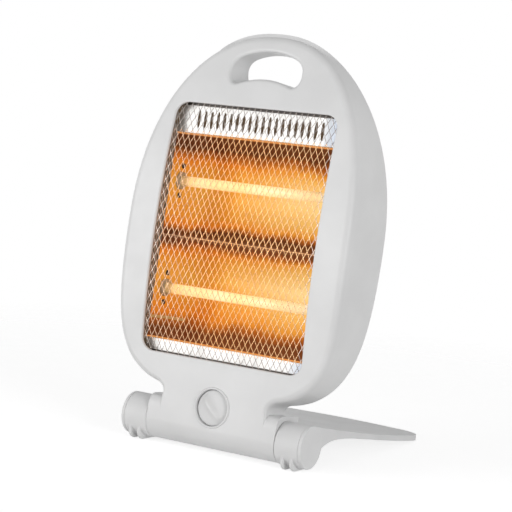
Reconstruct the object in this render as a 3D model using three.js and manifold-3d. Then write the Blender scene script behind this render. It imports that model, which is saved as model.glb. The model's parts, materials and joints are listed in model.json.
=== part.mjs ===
// Halogen heater: an egg-shaped shell with a carrying hole, two quartz tubes in a polished
// reflector behind a wire grille, and a tube at its bottom edge that turns in a wide rear foot.
// Millimetres, +Z up, front towards -Y. The shell is modelled upright in its own frame, whose
// origin is the middle of the hinge tube, and then leaned back as one group.
import * as THREE from "three";
import { mergeVertices } from "three/addons/utils/BufferGeometryUtils.js";
import Module from "manifold-3d";

const wasm = await Module();
wasm.setup();

// ---------------------------------------------------------------- driving dimensions

const CLEAR = 0.3; // gap between pieces that touch
const REACH = 60; // how far a cutting solid runs past what it cuts

// stance
const LEAN = THREE.MathUtils.degToRad(6.1); // shell leans back at rest
const AXIS_HEIGHT = 22.6; // hinge axis above the floor

// shell outline, seen from the front
const SHELL_HALF_WIDTH = 126;
const SHELL_TOP = 380.5;
const SHELL_WIDEST = 188;
const SHELL_BOTTOM = 31;
const TOP_ROUNDNESS = 2.28; // exponent of the outline above its widest line
const BOTTOM_ROUNDNESS = 4.2; // and below it
const OUTLINE_COUNT = 56; // points round the outline, an even number
const ROUND_SIDES = 28; // facets of the hinge tube, its rings and the knob

// shell profile, seen from the side
const NECK_FRONT = 20; // flat front of the neck, ahead of the hinge axis
const FRONT_BULGE = 9.5; // how far the front bows out past the neck
const BULGE_CENTRE = 185;
const BULGE_REACH = 122; // half the height over which it bows
const BACK_DEPTH = 43; // deepest point of the back
const BACK_CENTRE = 190;
const BACK_CURVE = 952; // millimetres: the back falls away by rise squared over this
const FRONT_EDGE_ROUND = 7;
const BACK_EDGE_ROUND = 10;
const SIDE_DRAFT = 3.6; // the front outline is this much smaller than the widest one behind it
const SHELL_WALL = 2.5;
const BACK_RIM = 11; // width of the rounded rim that frames the back cover
const COVER_RISE = 1.2; // back cover stands this far proud of the rim
const COVER_SLOT_COUNT = 15;
const COVER_SLOT_PITCH = 15;
const COVER_SLOT_LOW = 82; // z of the lowest row
const COVER_SLOT_WIDTH = 4.4;
const COVER_SLOT_REACH = 0.6; // share of the shell's width that a row takes

// neck, hinge tube and the ledge over the tube's ends
const NECK_HALF_WIDTH = 58.5;
const NECK_BACK = 21;
const NECK_FILLET = 6;
const NECK_CHAMFER = 2;
const NECK_OPEN_RISE = 19; // how far the neck's hollow runs up into the shell
const NECK_WALL_LOW = 4; // z of the lower edge of the neck's back wall
const NECK_WALL_RISE = 18; // how far that wall runs up into the shell
const TUBE_RADIUS = 19.8;
const TUBE_OVERHANG = 12.8; // past each side of the neck
const TUBE_HALF_LENGTH = NECK_HALF_WIDTH + TUBE_OVERHANG;
const TUBE_WALL = 2.5;
const TUBE_END_WALL = 3;
const LEDGE_THICKNESS = 4.2;
const LEDGE_FRONT = 4;
const TUBE_SQUARENESS = 3; // exponent of the tube's front upper quarter, which meets the neck's face
const LEDGE_ROUND = 6;

// window and grille
const WINDOW_FRAME = 37; // from the shell's widest point to the window's edge
const WINDOW_HALF_WIDTH = SHELL_HALF_WIDTH - WINDOW_FRAME;
const WINDOW_LOW = 63.7;
const WINDOW_HIGH = 306;
const WINDOW_CORNER = 13;
const GRILLE_RIM = 4; // rim that lies behind the window's edge
const GRILLE_THICKNESS = 1.2;
const GRILLE_WIRE = 1.4;
const MESH_PITCH_X = 17.5;
const MESH_PITCH_Z = 31;

// carrying hole
const HOLE_HALF_WIDTH = 38.5;
const HOLE_CENTRE = 344;
const HOLE_HEIGHT = 24;
const HOLE_ARCH = 12; // both long edges arch upwards by this much

// reflector
const SHEET = 0.8;
const REFLECTOR_LAP = 2; // reaches this far past the window's edge
const REFLECTOR_HALF_WIDTH = WINDOW_HALF_WIDTH + REFLECTOR_LAP;
const REFLECTOR_FACE = -10; // y of its top and bottom flanges
const TROUGH_TOP = 277.5;
const TROUGH_BOTTOM = 75.5;
const TROUGH_BACK = 31;
const RIDGE_FRONT = 0; // y of the ridge between the troughs
const TROUGH_STEPS = 8;
const FLANGE_HIGH = 318;
const FLANGE_LOW = 51.5;
const VENT_COUNT = 20;
const VENT_PITCH = 7.2;
const VENT_WIDTH = 2.6;
const VENT_LOW = 282.5;
const VENT_HIGH = 300;

// heating tubes
const QUARTZ_RADIUS = 5;
const QUARTZ_WALL = 1.3;
const QUARTZ_DEPTH = 9; // y of the tubes
const UPPER_TUBE = 231;
const LOWER_TUBE = 125;
const QUARTZ_LAP = 8; // a tube's end stands this far outside the reflector
const QUARTZ_HALF_LENGTH = REFLECTOR_HALF_WIDTH + QUARTZ_LAP;
const COIL_RADIUS = 2.4;
const COIL_WIRE = 0.5;
const COIL_CURLS = 12;
const COIL_HALF_LENGTH = QUARTZ_HALF_LENGTH - 11;
const COIL_TAIL = 8;
const CERAMIC_RADIUS = 8.5;
const CERAMIC_REACH = 2.5; // its inner end stands this far inside the reflector's side
const CERAMIC_INNER_END = REFLECTOR_HALF_WIDTH - CERAMIC_REACH;
const CERAMIC_LENGTH = 14.5;
const CERAMIC_OUTER_END = CERAMIC_INNER_END + CERAMIC_LENGTH;
const HOLDER_PLATE = 3.2;
const HOLDER_HALF_HEIGHT = 19;
const HOLDER_HALF_DEPTH = 6;
const HOLDER_SCREW_OFFSET = 14.5;

// selector knob and switch
const KNOB_HEIGHT = 20.3; // z of its centre
const BEZEL_RADIUS = 19.4;
const BEZEL_RISE = 1.6;
const KNOB_RADIUS = 16.9;
const RECESS_RADIUS = 17.4;
const RECESS_DEPTH = 4;
const KNOB_RISE = 0.7; // face of the knob ahead of the neck
const GRIP_LENGTH = 29;
const GRIP_WIDTH = 8;
const GRIP_RISE = 4.6;
const GRIP_ANGLE = THREE.MathUtils.degToRad(-45);
const KNOB_EDGE = 1.2;
const SHAFT_RADIUS = 3;
const SHAFT_SINK = 0.6; // end of the shaft behind the neck's face
const SHAFT_FLAT = 4; // length of the flat at its end
const SHAFT_GRIP = 9; // length of the shaft inside the switch
const SWITCH_SIZE = 23;
const SWITCH_DEPTH = 15;
const SWITCH_TABS = [-7, 0, 7];
const TAB_WIDTH = 4.8;
const TAB_THICKNESS = 0.8;
const TAB_LENGTH = 6;

// terminal block, tilt switch, thermal cut-out and cord inlet
const TERMINAL_X = 38;
const TERMINAL_WIDTH = 24;
const TERMINAL_DEPTH = 11;
const TERMINAL_LOW = 6;
const TERMINAL_HIGH = 20;
const TERMINAL_PITCH = 12;
const TERMINAL_WELL = 2.4;
const TILT_X = -38;
const TILT_WIDTH = 22;
const TILT_DEPTH = 14;
const TILT_LOW = 5;
const TILT_HIGH = 27;
const TILT_TAB_PITCH = 10;
const CUTOUT_RADIUS = 8;
const CUTOUT_HEIGHT = 8;
const CUTOUT_HALF_PLATE = 13;
const CUTOUT_TAB_PITCH = 8;
const CUTOUT_RISE = 2; // above the middle of the reflector
const GLAND_RADIUS = 5.5;
const GLAND_BORE = 3.5;
const GLAND_FLANGE = 2;
const GLAND_X = 38;
const GLAND_Z = 30;

// foot
const RING_RADIUS = 20.5;
const RING_BORE = 16.3;
const RING_END = 97;
const CAP_THICKNESS = 3.3;
const CAP_PLUG = 5;
const CAP_ROUND = 1.6;
const FIN_THICKNESS = 2.7;
const FIN_OFFSETS = [80.4, 90.2]; // x of the two fins under each ring
const FIN_BACK = 14;
const FOOT_REACH = 266;
const FOOT_HALF_WIDTH = RING_END;
const FOOT_RISE = 36.3; // height of the foot's top edge where it leaves the rings
const FOOT_RISE_AT = 34.3;
const FOOT_TIP = 5;
const FOOT_SWEEP = 1.33; // exponent of the top edge's curve
const FOOT_SKIN = 3;
const FLANGE_DEPTH = 5.5;
const FLANGE_FLARE = 18; // extra depth of the side flange at the rings
const FLANGE_FADE = 22;
const FOOT_CORNER = 36;
const FOOT_BOW = 5;
const FOOT_PAD = 38; // length of the flat strip that lies on the floor
const FOOT_NOTCH = 46; // the skin starts this far behind the axis between the rings
const FOOT_RIBS = [-48, 0, 48];
const FOOT_RIB_THICKNESS = 2.2;

// hinge
const HUB_RADIUS = 8;
const BUSH_RADIUS = RING_BORE - CLEAR;
const BUSH_END = 90;

// fasteners
const SCREW_SHANK = 1.5;
const SCREW_HEAD = 3.4;
const SCREW_HEAD_HEIGHT = 2.2;
const COVER_SCREW_LENGTH = 14;
const HOLDER_SCREW_HEAD = 2.6;
const HOLDER_SCREW_LENGTH = 5;
const PIVOT_SHANK = 2;
const PIVOT_HEAD = 4;
const PIVOT_WELL = 4; // depth of the pivot screw's head in its bush
const PIVOT_STEP = 2; // the bush's hub stands this far inside the end wall
const NUT_RADIUS = 11;
const NUT_THICKNESS = 3;
const POST_RADIUS = 4.2;
const POST_INSET = 18; // from the outline to the middle of a side post
const TOP_POST_HEIGHT = 339;
const LOW_POST_RISE = 40; // above the shell's lowest line
const POST_GAP = 4; // from a post's end to the cover's inner face
const PILOT_DEPTH = 12;
const TIP_GAP = 1; // from a screw's tip to the bottom of its pilot
const SEAT_SINK = 1.6; // depth of the flat seat under a cover screw's head
const SEAT_MARGIN = 0.8;
const FLANGE_POST_X = REFLECTOR_HALF_WIDTH - 21;
const FLANGE_POST_DROP = 3.6; // from the reflector's edges

// ---------------------------------------------------------------- solids

// A three.js geometry as a solid that can be joined and cut.
function solid(geometry) {
  const bare = geometry.clone();
  bare.deleteAttribute("normal");
  bare.deleteAttribute("uv");
  const merged = mergeVertices(bare, 1e-4);
  const triVerts = new Uint32Array(merged.index.array);
  const vertProperties = merged.attributes.position.array;
  return new wasm.Manifold(new wasm.Mesh({ numProp: 3, vertProperties, triVerts }));
}

function geometryOf(body) {
  const mesh = body.getMesh();
  const geometry = new THREE.BufferGeometry();
  geometry.setAttribute("position", new THREE.BufferAttribute(mesh.vertProperties, 3));
  geometry.setIndex(new THREE.BufferAttribute(mesh.triVerts, 1));
  geometry.computeVertexNormals();
  return geometry;
}

const join = (...bodies) => bodies.reduce((whole, body) => whole.add(body));
const cut = (body, ...tools) => tools.reduce((rest, tool) => rest.subtract(tool), body);

function block(x0, x1, y0, y1, z0, z1) {
  const geometry = new THREE.BoxGeometry(x1 - x0, y1 - y0, z1 - z0);
  geometry.translate((x0 + x1) / 2, (y0 + y1) / 2, (z0 + z1) / 2);
  return solid(geometry);
}

// Cylinder along X, Y or Z between two stations.
function rod(axis, radius, from, to, centre, sides = 24) {
  const geometry = new THREE.CylinderGeometry(radius, radius, to - from, sides);
  if (axis === "x") geometry.rotateZ(-Math.PI / 2);
  if (axis === "z") geometry.rotateX(Math.PI / 2);
  const middle = (from + to) / 2;
  if (axis === "x") geometry.translate(middle, centre[0], centre[1]);
  if (axis === "y") geometry.translate(centre[0], middle, centre[1]);
  if (axis === "z") geometry.translate(centre[0], centre[1], middle);
  return solid(geometry);
}

// Outline drawn in X and Z, extruded from y0 back to y1.
function frontPrism(shape, y0, y1, curveSegments = 12) {
  const geometry = new THREE.ExtrudeGeometry(shape, { depth: y1 - y0, bevelEnabled: false, curveSegments });
  geometry.rotateX(Math.PI / 2);
  geometry.translate(0, y1, 0);
  return solid(geometry);
}

// Outline drawn in Y and Z, extruded from x0 to x1.
function sidePrism(shape, x0, x1, curveSegments = 12) {
  const geometry = new THREE.ExtrudeGeometry(shape, { depth: x1 - x0, bevelEnabled: false, curveSegments });
  geometry.rotateX(Math.PI / 2);
  geometry.rotateZ(Math.PI / 2);
  geometry.translate(x0, 0, 0);
  return solid(geometry);
}

// Closed skin over rings of equal length. The rings mirror left to right, so each end is closed
// by level strips from a point to its mirror point, which keeps a surface that only bows upwards.
function skinOver(rings) {
  const size = rings[0].length;
  const index = [];
  for (let r = 0; r + 1 < rings.length; r++) {
    for (let i = 0; i < size; i++) {
      const next = (i + 1) % size;
      const [a, b] = [r * size + i, r * size + next];
      index.push(a, b, b + size, a, b + size, a + size);
    }
  }
  const last = (rings.length - 1) * size;
  for (let k = 0; k + 1 < size / 2; k++) {
    const [right, rightBelow] = [size / 2 - 1 - k, size / 2 - 2 - k];
    const [left, leftBelow] = [size / 2 + k, size / 2 + k + 1];
    index.push(rightBelow, left, right, rightBelow, leftBelow, left);
    index.push(last + rightBelow, last + right, last + left);
    index.push(last + rightBelow, last + left, last + leftBelow);
  }
  const geometry = new THREE.BufferGeometry();
  geometry.setAttribute("position", new THREE.Float32BufferAttribute(rings.flat(2), 3));
  geometry.setIndex(index);
  return facingOut(geometry);
}

// Closed tube over rings of a few points each.
function tubeOver(rings) {
  const size = rings[0].length;
  const last = (rings.length - 1) * size;
  const index = [];
  for (let r = 0; r + 1 < rings.length; r++) {
    for (let i = 0; i < size; i++) {
      const next = (i + 1) % size;
      const [a, b] = [r * size + i, r * size + next];
      index.push(a, b, b + size, a, b + size, a + size);
    }
  }
  for (let i = 1; i + 1 < size; i++) {
    index.push(0, i + 1, i);
    index.push(last, last + i, last + i + 1);
  }
  const geometry = new THREE.BufferGeometry();
  geometry.setAttribute("position", new THREE.Float32BufferAttribute(rings.flat(2), 3));
  geometry.setIndex(index);
  return facingOut(geometry);
}

// Turns a closed geometry's faces outwards.
function facingOut(geometry) {
  const at = geometry.attributes.position;
  const index = geometry.index.array;
  const [a, b, c] = [new THREE.Vector3(), new THREE.Vector3(), new THREE.Vector3()];
  let volume = 0;
  for (let i = 0; i < index.length; i += 3) {
    a.fromBufferAttribute(at, index[i]);
    b.fromBufferAttribute(at, index[i + 1]);
    c.fromBufferAttribute(at, index[i + 2]);
    volume += a.dot(b.cross(c));
  }
  if (volume < 0) {
    for (let i = 0; i < index.length; i += 3) {
      [index[i + 1], index[i + 2]] = [index[i + 2], index[i + 1]];
    }
  }
  return geometry;
}

// Rounded slot along X or Z, as an outline in X and Z.
function slotShape(x, z, halfLength, halfWidth, upright) {
  const shape = new THREE.Shape();
  const straight = halfLength - halfWidth;
  if (upright) {
    shape.absarc(x, z + straight, halfWidth, 0, Math.PI, false);
    shape.absarc(x, z - straight, halfWidth, Math.PI, 2 * Math.PI, false);
  } else {
    shape.absarc(x + straight, z, halfWidth, -Math.PI / 2, Math.PI / 2, false);
    shape.absarc(x - straight, z, halfWidth, Math.PI / 2, 1.5 * Math.PI, false);
  }
  return shape;
}

function roundedRectangle(halfWidth, low, high, corner) {
  const shape = new THREE.Shape();
  shape.absarc(halfWidth - corner, low + corner, corner, -Math.PI / 2, 0, false);
  shape.absarc(halfWidth - corner, high - corner, corner, 0, Math.PI / 2, false);
  shape.absarc(corner - halfWidth, high - corner, corner, Math.PI / 2, Math.PI, false);
  shape.absarc(corner - halfWidth, low + corner, corner, Math.PI, 1.5 * Math.PI, false);
  return shape;
}

// ---------------------------------------------------------------- shell form

// y of the shell's front and back surfaces at a height.
function frontAt(z) {
  const u = (z - BULGE_CENTRE) / BULGE_REACH;
  const bow = u < -1 ? 0 : FRONT_BULGE * (1 - u * u);
  return -NECK_FRONT - bow;
}

function backAt(z) {
  return BACK_DEPTH - (z - BACK_CENTRE) ** 2 / BACK_CURVE;
}

// A point of the outline; turn 0 is at the right and a quarter turn is the top.
function outlinePoint(turn) {
  const [c, s] = [Math.cos(turn), Math.sin(turn)];
  const power = 2 / (s > 0 ? TOP_ROUNDNESS : BOTTOM_ROUNDNESS);
  const reach = s > 0 ? SHELL_TOP - SHELL_WIDEST : SHELL_WIDEST - SHELL_BOTTOM;
  const x = SHELL_HALF_WIDTH * Math.abs(c) ** power;
  const z = SHELL_WIDEST + reach * Math.sign(s) * Math.abs(s) ** power;
  return new THREE.Vector2(x, z);
}

// Half the width of the outline at a height.
function halfWidthAt(z) {
  const above = z > SHELL_WIDEST;
  const reach = above ? SHELL_TOP - SHELL_WIDEST : SHELL_WIDEST - SHELL_BOTTOM;
  const roundness = above ? TOP_ROUNDNESS : BOTTOM_ROUNDNESS;
  const share = Math.abs(z - SHELL_WIDEST) / reach;
  return SHELL_HALF_WIDTH * (1 - share ** roundness) ** (1 / roundness);
}

// Points up the right side, spaced evenly by length and by turning together, each with the
// direction that points out of the shell.
function traceSide() {
  const fine = 800;
  const dense = [];
  for (let i = 0; i <= fine; i++) dense.push(outlinePoint(Math.PI * (i / fine - 0.5)));
  const steps = dense.slice(1).map((point, i) => point.clone().sub(dense[i]));
  const whole = steps.reduce((sum, step) => sum + step.length(), 0);
  const travelled = [0];
  for (let i = 1; i < steps.length; i++) {
    const turning = Math.abs(steps[i].angle() - steps[i - 1].angle());
    const bend = Math.min(turning, 2 * Math.PI - turning) / Math.PI;
    travelled.push(travelled[i - 1] + steps[i].length() / whole + bend);
  }
  const points = [];
  const total = travelled[travelled.length - 1];
  for (let k = 0; k < OUTLINE_COUNT / 2; k++) {
    const goal = (total * (k + 0.5)) / (OUTLINE_COUNT / 2);
    const i = travelled.findIndex((value) => value >= goal);
    const along = steps[i].clone().normalize();
    points.push({ x: dense[i].x, z: dense[i].y, outX: along.y, outZ: -along.x });
  }
  return points;
}

const RIGHT_SIDE = traceSide();

// The outline drawn in by a distance: up the right side and down the left.
function outlineRing(inset, depthAt) {
  const right = RIGHT_SIDE.map(({ x, z, outX, outZ }) => {
    const height = z - inset * outZ;
    return [x - inset * outX, depthAt(height), height];
  });
  const left = right.map(([x, y, z]) => [-x, y, z]).reverse();
  return [...right, ...left];
}

// Edge rounds shrink where the shell gets thin towards its top.
const frontRound = (z) => Math.min(FRONT_EDGE_ROUND, 0.38 * (backAt(z) - frontAt(z)));
const backRound = (z) => Math.min(BACK_EDGE_ROUND, 0.5 * (backAt(z) - frontAt(z)));

function shellForm() {
  const slope = 1 - Math.SQRT1_2;
  const rings = [
    outlineRing(SIDE_DRAFT + FRONT_EDGE_ROUND, (z) => frontAt(z)),
    outlineRing(SIDE_DRAFT + FRONT_EDGE_ROUND * slope, (z) => frontAt(z) + frontRound(z) * slope),
    outlineRing(SIDE_DRAFT, (z) => frontAt(z) + frontRound(z)),
    outlineRing(0, (z) => backAt(z) - backRound(z)),
    outlineRing(0.14 * BACK_RIM, (z) => backAt(z) - 0.55 * backRound(z)),
    outlineRing(0.42 * BACK_RIM, (z) => backAt(z) - 0.2 * backRound(z)),
    outlineRing(0.82 * BACK_RIM, (z) => backAt(z)),
  ];
  return solid(skinOver(rings));
}

function shellHollow() {
  const wall = SHELL_WALL;
  const rings = [
    outlineRing(SIDE_DRAFT + FRONT_EDGE_ROUND + 0.5 * wall, (z) => frontAt(z) + wall),
    outlineRing(SIDE_DRAFT + wall, (z) => frontAt(z) + 0.5 * wall + frontRound(z)),
    outlineRing(wall, (z) => backAt(z) - backRound(z)),
    outlineRing(wall + 0.25 * BACK_RIM, (z) => backAt(z) - 0.55 * backRound(z)),
    outlineRing(BACK_RIM, (z) => backAt(z) - wall),
    outlineRing(BACK_RIM, (z) => backAt(z) + REACH),
  ];
  return solid(skinOver(rings));
}

// Carrying hole: a slot whose long edges both arch upwards, grown by a margin.
function holePrism(margin, y0, y1) {
  const halfHeight = HOLE_HEIGHT / 2 + margin;
  const halfWidth = HOLE_HALF_WIDTH + margin;
  const round = halfHeight * 0.75;
  const low = HOLE_CENTRE - HOLE_ARCH / 2;
  const shape = new THREE.Shape();
  shape.moveTo(-halfWidth, low);
  shape.quadraticCurveTo(-halfWidth, low + halfHeight, round - halfWidth + 4, low + halfHeight + 2);
  shape.quadraticCurveTo(0, low + halfHeight + HOLE_ARCH, halfWidth - round - 4, low + halfHeight + 2);
  shape.quadraticCurveTo(halfWidth, low + halfHeight, halfWidth, low);
  shape.quadraticCurveTo(halfWidth, low - halfHeight, halfWidth - round, low - halfHeight);
  shape.quadraticCurveTo(0, low - halfHeight + HOLE_ARCH, round - halfWidth, low - halfHeight);
  shape.quadraticCurveTo(-halfWidth, low - halfHeight, -halfWidth, low);
  return frontPrism(shape, y0, y1, 5);
}

// Neck between shell and hinge tube, its upper corners flared into the shell.
function neckPrism() {
  const shape = new THREE.Shape();
  const [half, corner, fillet] = [NECK_HALF_WIDTH, SHELL_BOTTOM - 1, NECK_FILLET];
  shape.moveTo(-half, 0);
  shape.lineTo(half, 0);
  shape.lineTo(half, corner);
  shape.quadraticCurveTo(half, corner + fillet, half + fillet, corner + fillet);
  shape.lineTo(half + fillet, corner + 3 * fillet);
  shape.lineTo(-half - fillet, corner + 3 * fillet);
  shape.lineTo(-half - fillet, corner + fillet);
  shape.quadraticCurveTo(-half, corner + fillet, -half, corner);
  return frontPrism(shape, -NECK_FRONT, NECK_BACK, 4);
}

const windowShape = (grow) =>
  roundedRectangle(WINDOW_HALF_WIDTH + grow, WINDOW_LOW - grow, WINDOW_HIGH + grow, WINDOW_CORNER + grow);

// ---------------------------------------------------------------- fixing points

// x and z of each post. The top pair stands midway between the carrying hole and the rim.
const bothSides = (pairs) => pairs.flatMap(([x, z]) => [[-x, z], [x, z]]);
const topPostX = (HOLE_HALF_WIDTH + SHELL_WALL + halfWidthAt(TOP_POST_HEIGHT) - BACK_RIM) / 2;
const lowPostZ = SHELL_BOTTOM + LOW_POST_RISE;
const COVER_POSTS = bothSides([
  [topPostX, TOP_POST_HEIGHT],
  [halfWidthAt(SHELL_WIDEST) - POST_INSET, SHELL_WIDEST],
  [halfWidthAt(lowPostZ) - POST_INSET, lowPostZ],
]);
const REFLECTOR_POSTS = bothSides([
  [FLANGE_POST_X, FLANGE_HIGH - FLANGE_POST_DROP],
  [FLANGE_POST_X, FLANGE_LOW + FLANGE_POST_DROP],
]);
const coverFaceAt = (z) => backAt(z) + COVER_RISE;
const postEndAt = (z) => backAt(z) - SHELL_WALL - POST_GAP;

// ---------------------------------------------------------------- shell pieces

function frontHousing() {
  const neck = neckPrism();
  const neckEdges = [-1, 1].map((side) => {
    const edge = new THREE.Shape();
    edge.moveTo(side * (NECK_HALF_WIDTH - NECK_CHAMFER), -1);
    edge.lineTo(side * (NECK_HALF_WIDTH + 1), -1);
    edge.lineTo(side * (NECK_HALF_WIDTH + 1), NECK_CHAMFER + 1);
    const geometry = new THREE.ExtrudeGeometry(edge, { depth: SHELL_BOTTOM, bevelEnabled: false });
    geometry.translate(0, -NECK_FRONT - 0.4, 0);
    return solid(facingOut(mergeVertices(geometry, 1e-4)));
  });
  const tube = rod("x", TUBE_RADIUS, -TUBE_HALF_LENGTH, TUBE_HALF_LENGTH, [0, 0], ROUND_SIDES);
  const top = TUBE_RADIUS + LEDGE_THICKNESS;
  const quarter = new THREE.Shape();
  quarter.moveTo(0, 0);
  for (const step of [0, 1, 2, 3, 4, 5]) {
    const turn = (Math.PI / 2) * (step / 5);
    const power = 2 / TUBE_SQUARENESS;
    quarter.lineTo(-NECK_FRONT * Math.cos(turn) ** power, top * Math.sin(turn) ** power);
  }
  const shoulder = sidePrism(quarter, -TUBE_HALF_LENGTH, TUBE_HALF_LENGTH);
  const ledges = [-1, 1].map((side) => {
    const shape = new THREE.Shape();
    const [inner, outer] = [side * (NECK_HALF_WIDTH - SHELL_WALL), side * TUBE_HALF_LENGTH];
    shape.moveTo(inner, -LEDGE_FRONT);
    shape.lineTo(outer, -LEDGE_FRONT);
    shape.lineTo(outer, NECK_BACK - LEDGE_ROUND);
    shape.quadraticCurveTo(outer, NECK_BACK, outer - side * LEDGE_ROUND, NECK_BACK);
    shape.lineTo(inner, NECK_BACK);
    const geometry = new THREE.ExtrudeGeometry(shape, { depth: LEDGE_THICKNESS + 1, bevelEnabled: false });
    geometry.translate(0, 0, top - LEDGE_THICKNESS - 1);
    return solid(facingOut(mergeVertices(geometry, 1e-4)));
  });
  const knobCentre = [0, KNOB_HEIGHT];
  const recessFloor = -NECK_FRONT + RECESS_DEPTH;
  const bezel = rod("y", BEZEL_RADIUS, -NECK_FRONT - BEZEL_RISE, recessFloor, knobCentre, ROUND_SIDES);
  const form = shellForm();
  const outside = join(form, cut(neck, ...neckEdges), tube, shoulder, ...ledges, bezel);

  const inner = NECK_HALF_WIDTH - SHELL_WALL;
  const neckTop = SHELL_BOTTOM + NECK_OPEN_RISE;
  const neckHollow = block(-inner, inner, -NECK_FRONT + SHELL_WALL, NECK_BACK + REACH, 0, neckTop);
  const tubeHollow = rod(
    "x",
    TUBE_RADIUS - TUBE_WALL,
    -TUBE_HALF_LENGTH + TUBE_END_WALL,
    TUBE_HALF_LENGTH - TUBE_END_WALL,
    [0, 0],
    ROUND_SIDES,
  );
  let shell = cut(outside, shellHollow(), neckHollow, tubeHollow);

  // sleeve round the carrying hole, posts for the screws and a cup behind the knob
  const sleeve = holePrism(SHELL_WALL, -REACH, REACH).intersect(form);
  const cupRadius = RECESS_RADIUS + SHELL_WALL;
  const cup = rod("y", cupRadius, -NECK_FRONT, recessFloor + SHELL_WALL, knobCentre, ROUND_SIDES);
  const posts = [
    ...COVER_POSTS.map(([x, z]) => rod("y", POST_RADIUS, frontAt(z) + 1, postEndAt(z), [x, z], 8)),
    ...REFLECTOR_POSTS.map(([x, z]) =>
      rod("y", POST_RADIUS - 1, frontAt(z) + 1, REFLECTOR_FACE - CLEAR, [x, z], 10),
    ),
  ];
  shell = join(shell, sleeve, cup, ...posts);

  const pilots = [
    ...COVER_POSTS.map(([x, z]) =>
      rod("y", SCREW_SHANK + CLEAR, postEndAt(z) - PILOT_DEPTH, postEndAt(z) + 1, [x, z], 8),
    ),
    ...REFLECTOR_POSTS.map(([x, z]) =>
      rod("y", SCREW_SHANK + CLEAR, frontAt(z) + SHELL_WALL, REFLECTOR_FACE + 1, [x, z], 6),
    ),
  ];
  const rearTube = cut(
    rod("x", TUBE_RADIUS + CLEAR, -TUBE_HALF_LENGTH - 1, TUBE_HALF_LENGTH + 1, [0, 0], ROUND_SIDES),
    block(-REACH * 2, REACH * 2, -REACH, 0, -REACH, REACH),
  );
  const hubHoles = rod("x", HUB_RADIUS + CLEAR, -TUBE_HALF_LENGTH - 1, TUBE_HALF_LENGTH + 1, [0, 0]);
  return cut(
    shell,
    frontPrism(windowShape(0), -REACH, 0, 5),
    holePrism(0, -REACH, REACH),
    rod("y", RECESS_RADIUS, -REACH, recessFloor, knobCentre, ROUND_SIDES),
    rod("y", SHAFT_RADIUS + 1, -REACH, 0, knobCentre, 16),
    rearTube,
    hubHoles,
    ...pilots,
  );
}

function rearCover() {
  const inset = BACK_RIM + CLEAR;
  const panel = solid(
    skinOver([
      outlineRing(inset, coverFaceAt),
      outlineRing(inset, (z) => coverFaceAt(z) - SHELL_WALL),
    ]),
  );

  // back of the neck and the rear half of the hinge tube
  const halfWidth = NECK_HALF_WIDTH - SHELL_WALL - CLEAR;
  const inside = NECK_BACK - SHELL_WALL;
  const hollowEnd = TUBE_HALF_LENGTH - TUBE_END_WALL;
  const neckTop = SHELL_BOTTOM + NECK_WALL_RISE;
  const neckWall = block(-halfWidth, halfWidth, inside, NECK_BACK, NECK_WALL_LOW, neckTop);
  const tube = cut(
    rod("x", TUBE_RADIUS, -TUBE_HALF_LENGTH, TUBE_HALF_LENGTH, [0, 0], ROUND_SIDES),
    rod("x", TUBE_RADIUS - TUBE_WALL, -hollowEnd, hollowEnd, [0, 0], ROUND_SIDES),
    block(-REACH * 2, REACH * 2, -REACH, CLEAR, -REACH, REACH),
    block(-halfWidth, halfWidth, -REACH, inside, NECK_WALL_LOW, REACH),
    rod("x", HUB_RADIUS + CLEAR, -REACH * 2, REACH * 2, [0, 0]),
  );
  const bosses = COVER_POSTS.map(([x, z]) =>
    rod("y", POST_RADIUS, postEndAt(z) + CLEAR, coverFaceAt(z) - SEAT_SINK + 0.4, [x, z], 8),
  );
  const holes = COVER_POSTS.map(([x, z]) => rod("y", SCREW_SHANK + CLEAR, -REACH, REACH, [x, z], 6));
  const seats = COVER_POSTS.map(([x, z]) =>
    rod("y", SCREW_HEAD + SEAT_MARGIN, coverFaceAt(z) - SEAT_SINK, REACH * 2, [x, z], 12),
  );

  // rows of slots that follow the outline
  const slots = [];
  for (let row = 0; row < COVER_SLOT_COUNT; row++) {
    const z = COVER_SLOT_LOW + row * COVER_SLOT_PITCH;
    const halfLength = halfWidthAt(z) * COVER_SLOT_REACH;
    slots.push(frontPrism(slotShape(0, z, halfLength, COVER_SLOT_WIDTH / 2, false), 0, REACH, 2));
  }
  const gland = rod("y", GLAND_RADIUS + CLEAR, 0, REACH, [GLAND_X, GLAND_Z], 16);
  return cut(
    join(panel, neckWall, tube, ...bosses),
    holePrism(SHELL_WALL + CLEAR, -REACH, REACH),
    gland,
    ...holes,
    ...seats,
    ...slots,
  );
}

// ---------------------------------------------------------------- grille

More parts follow.
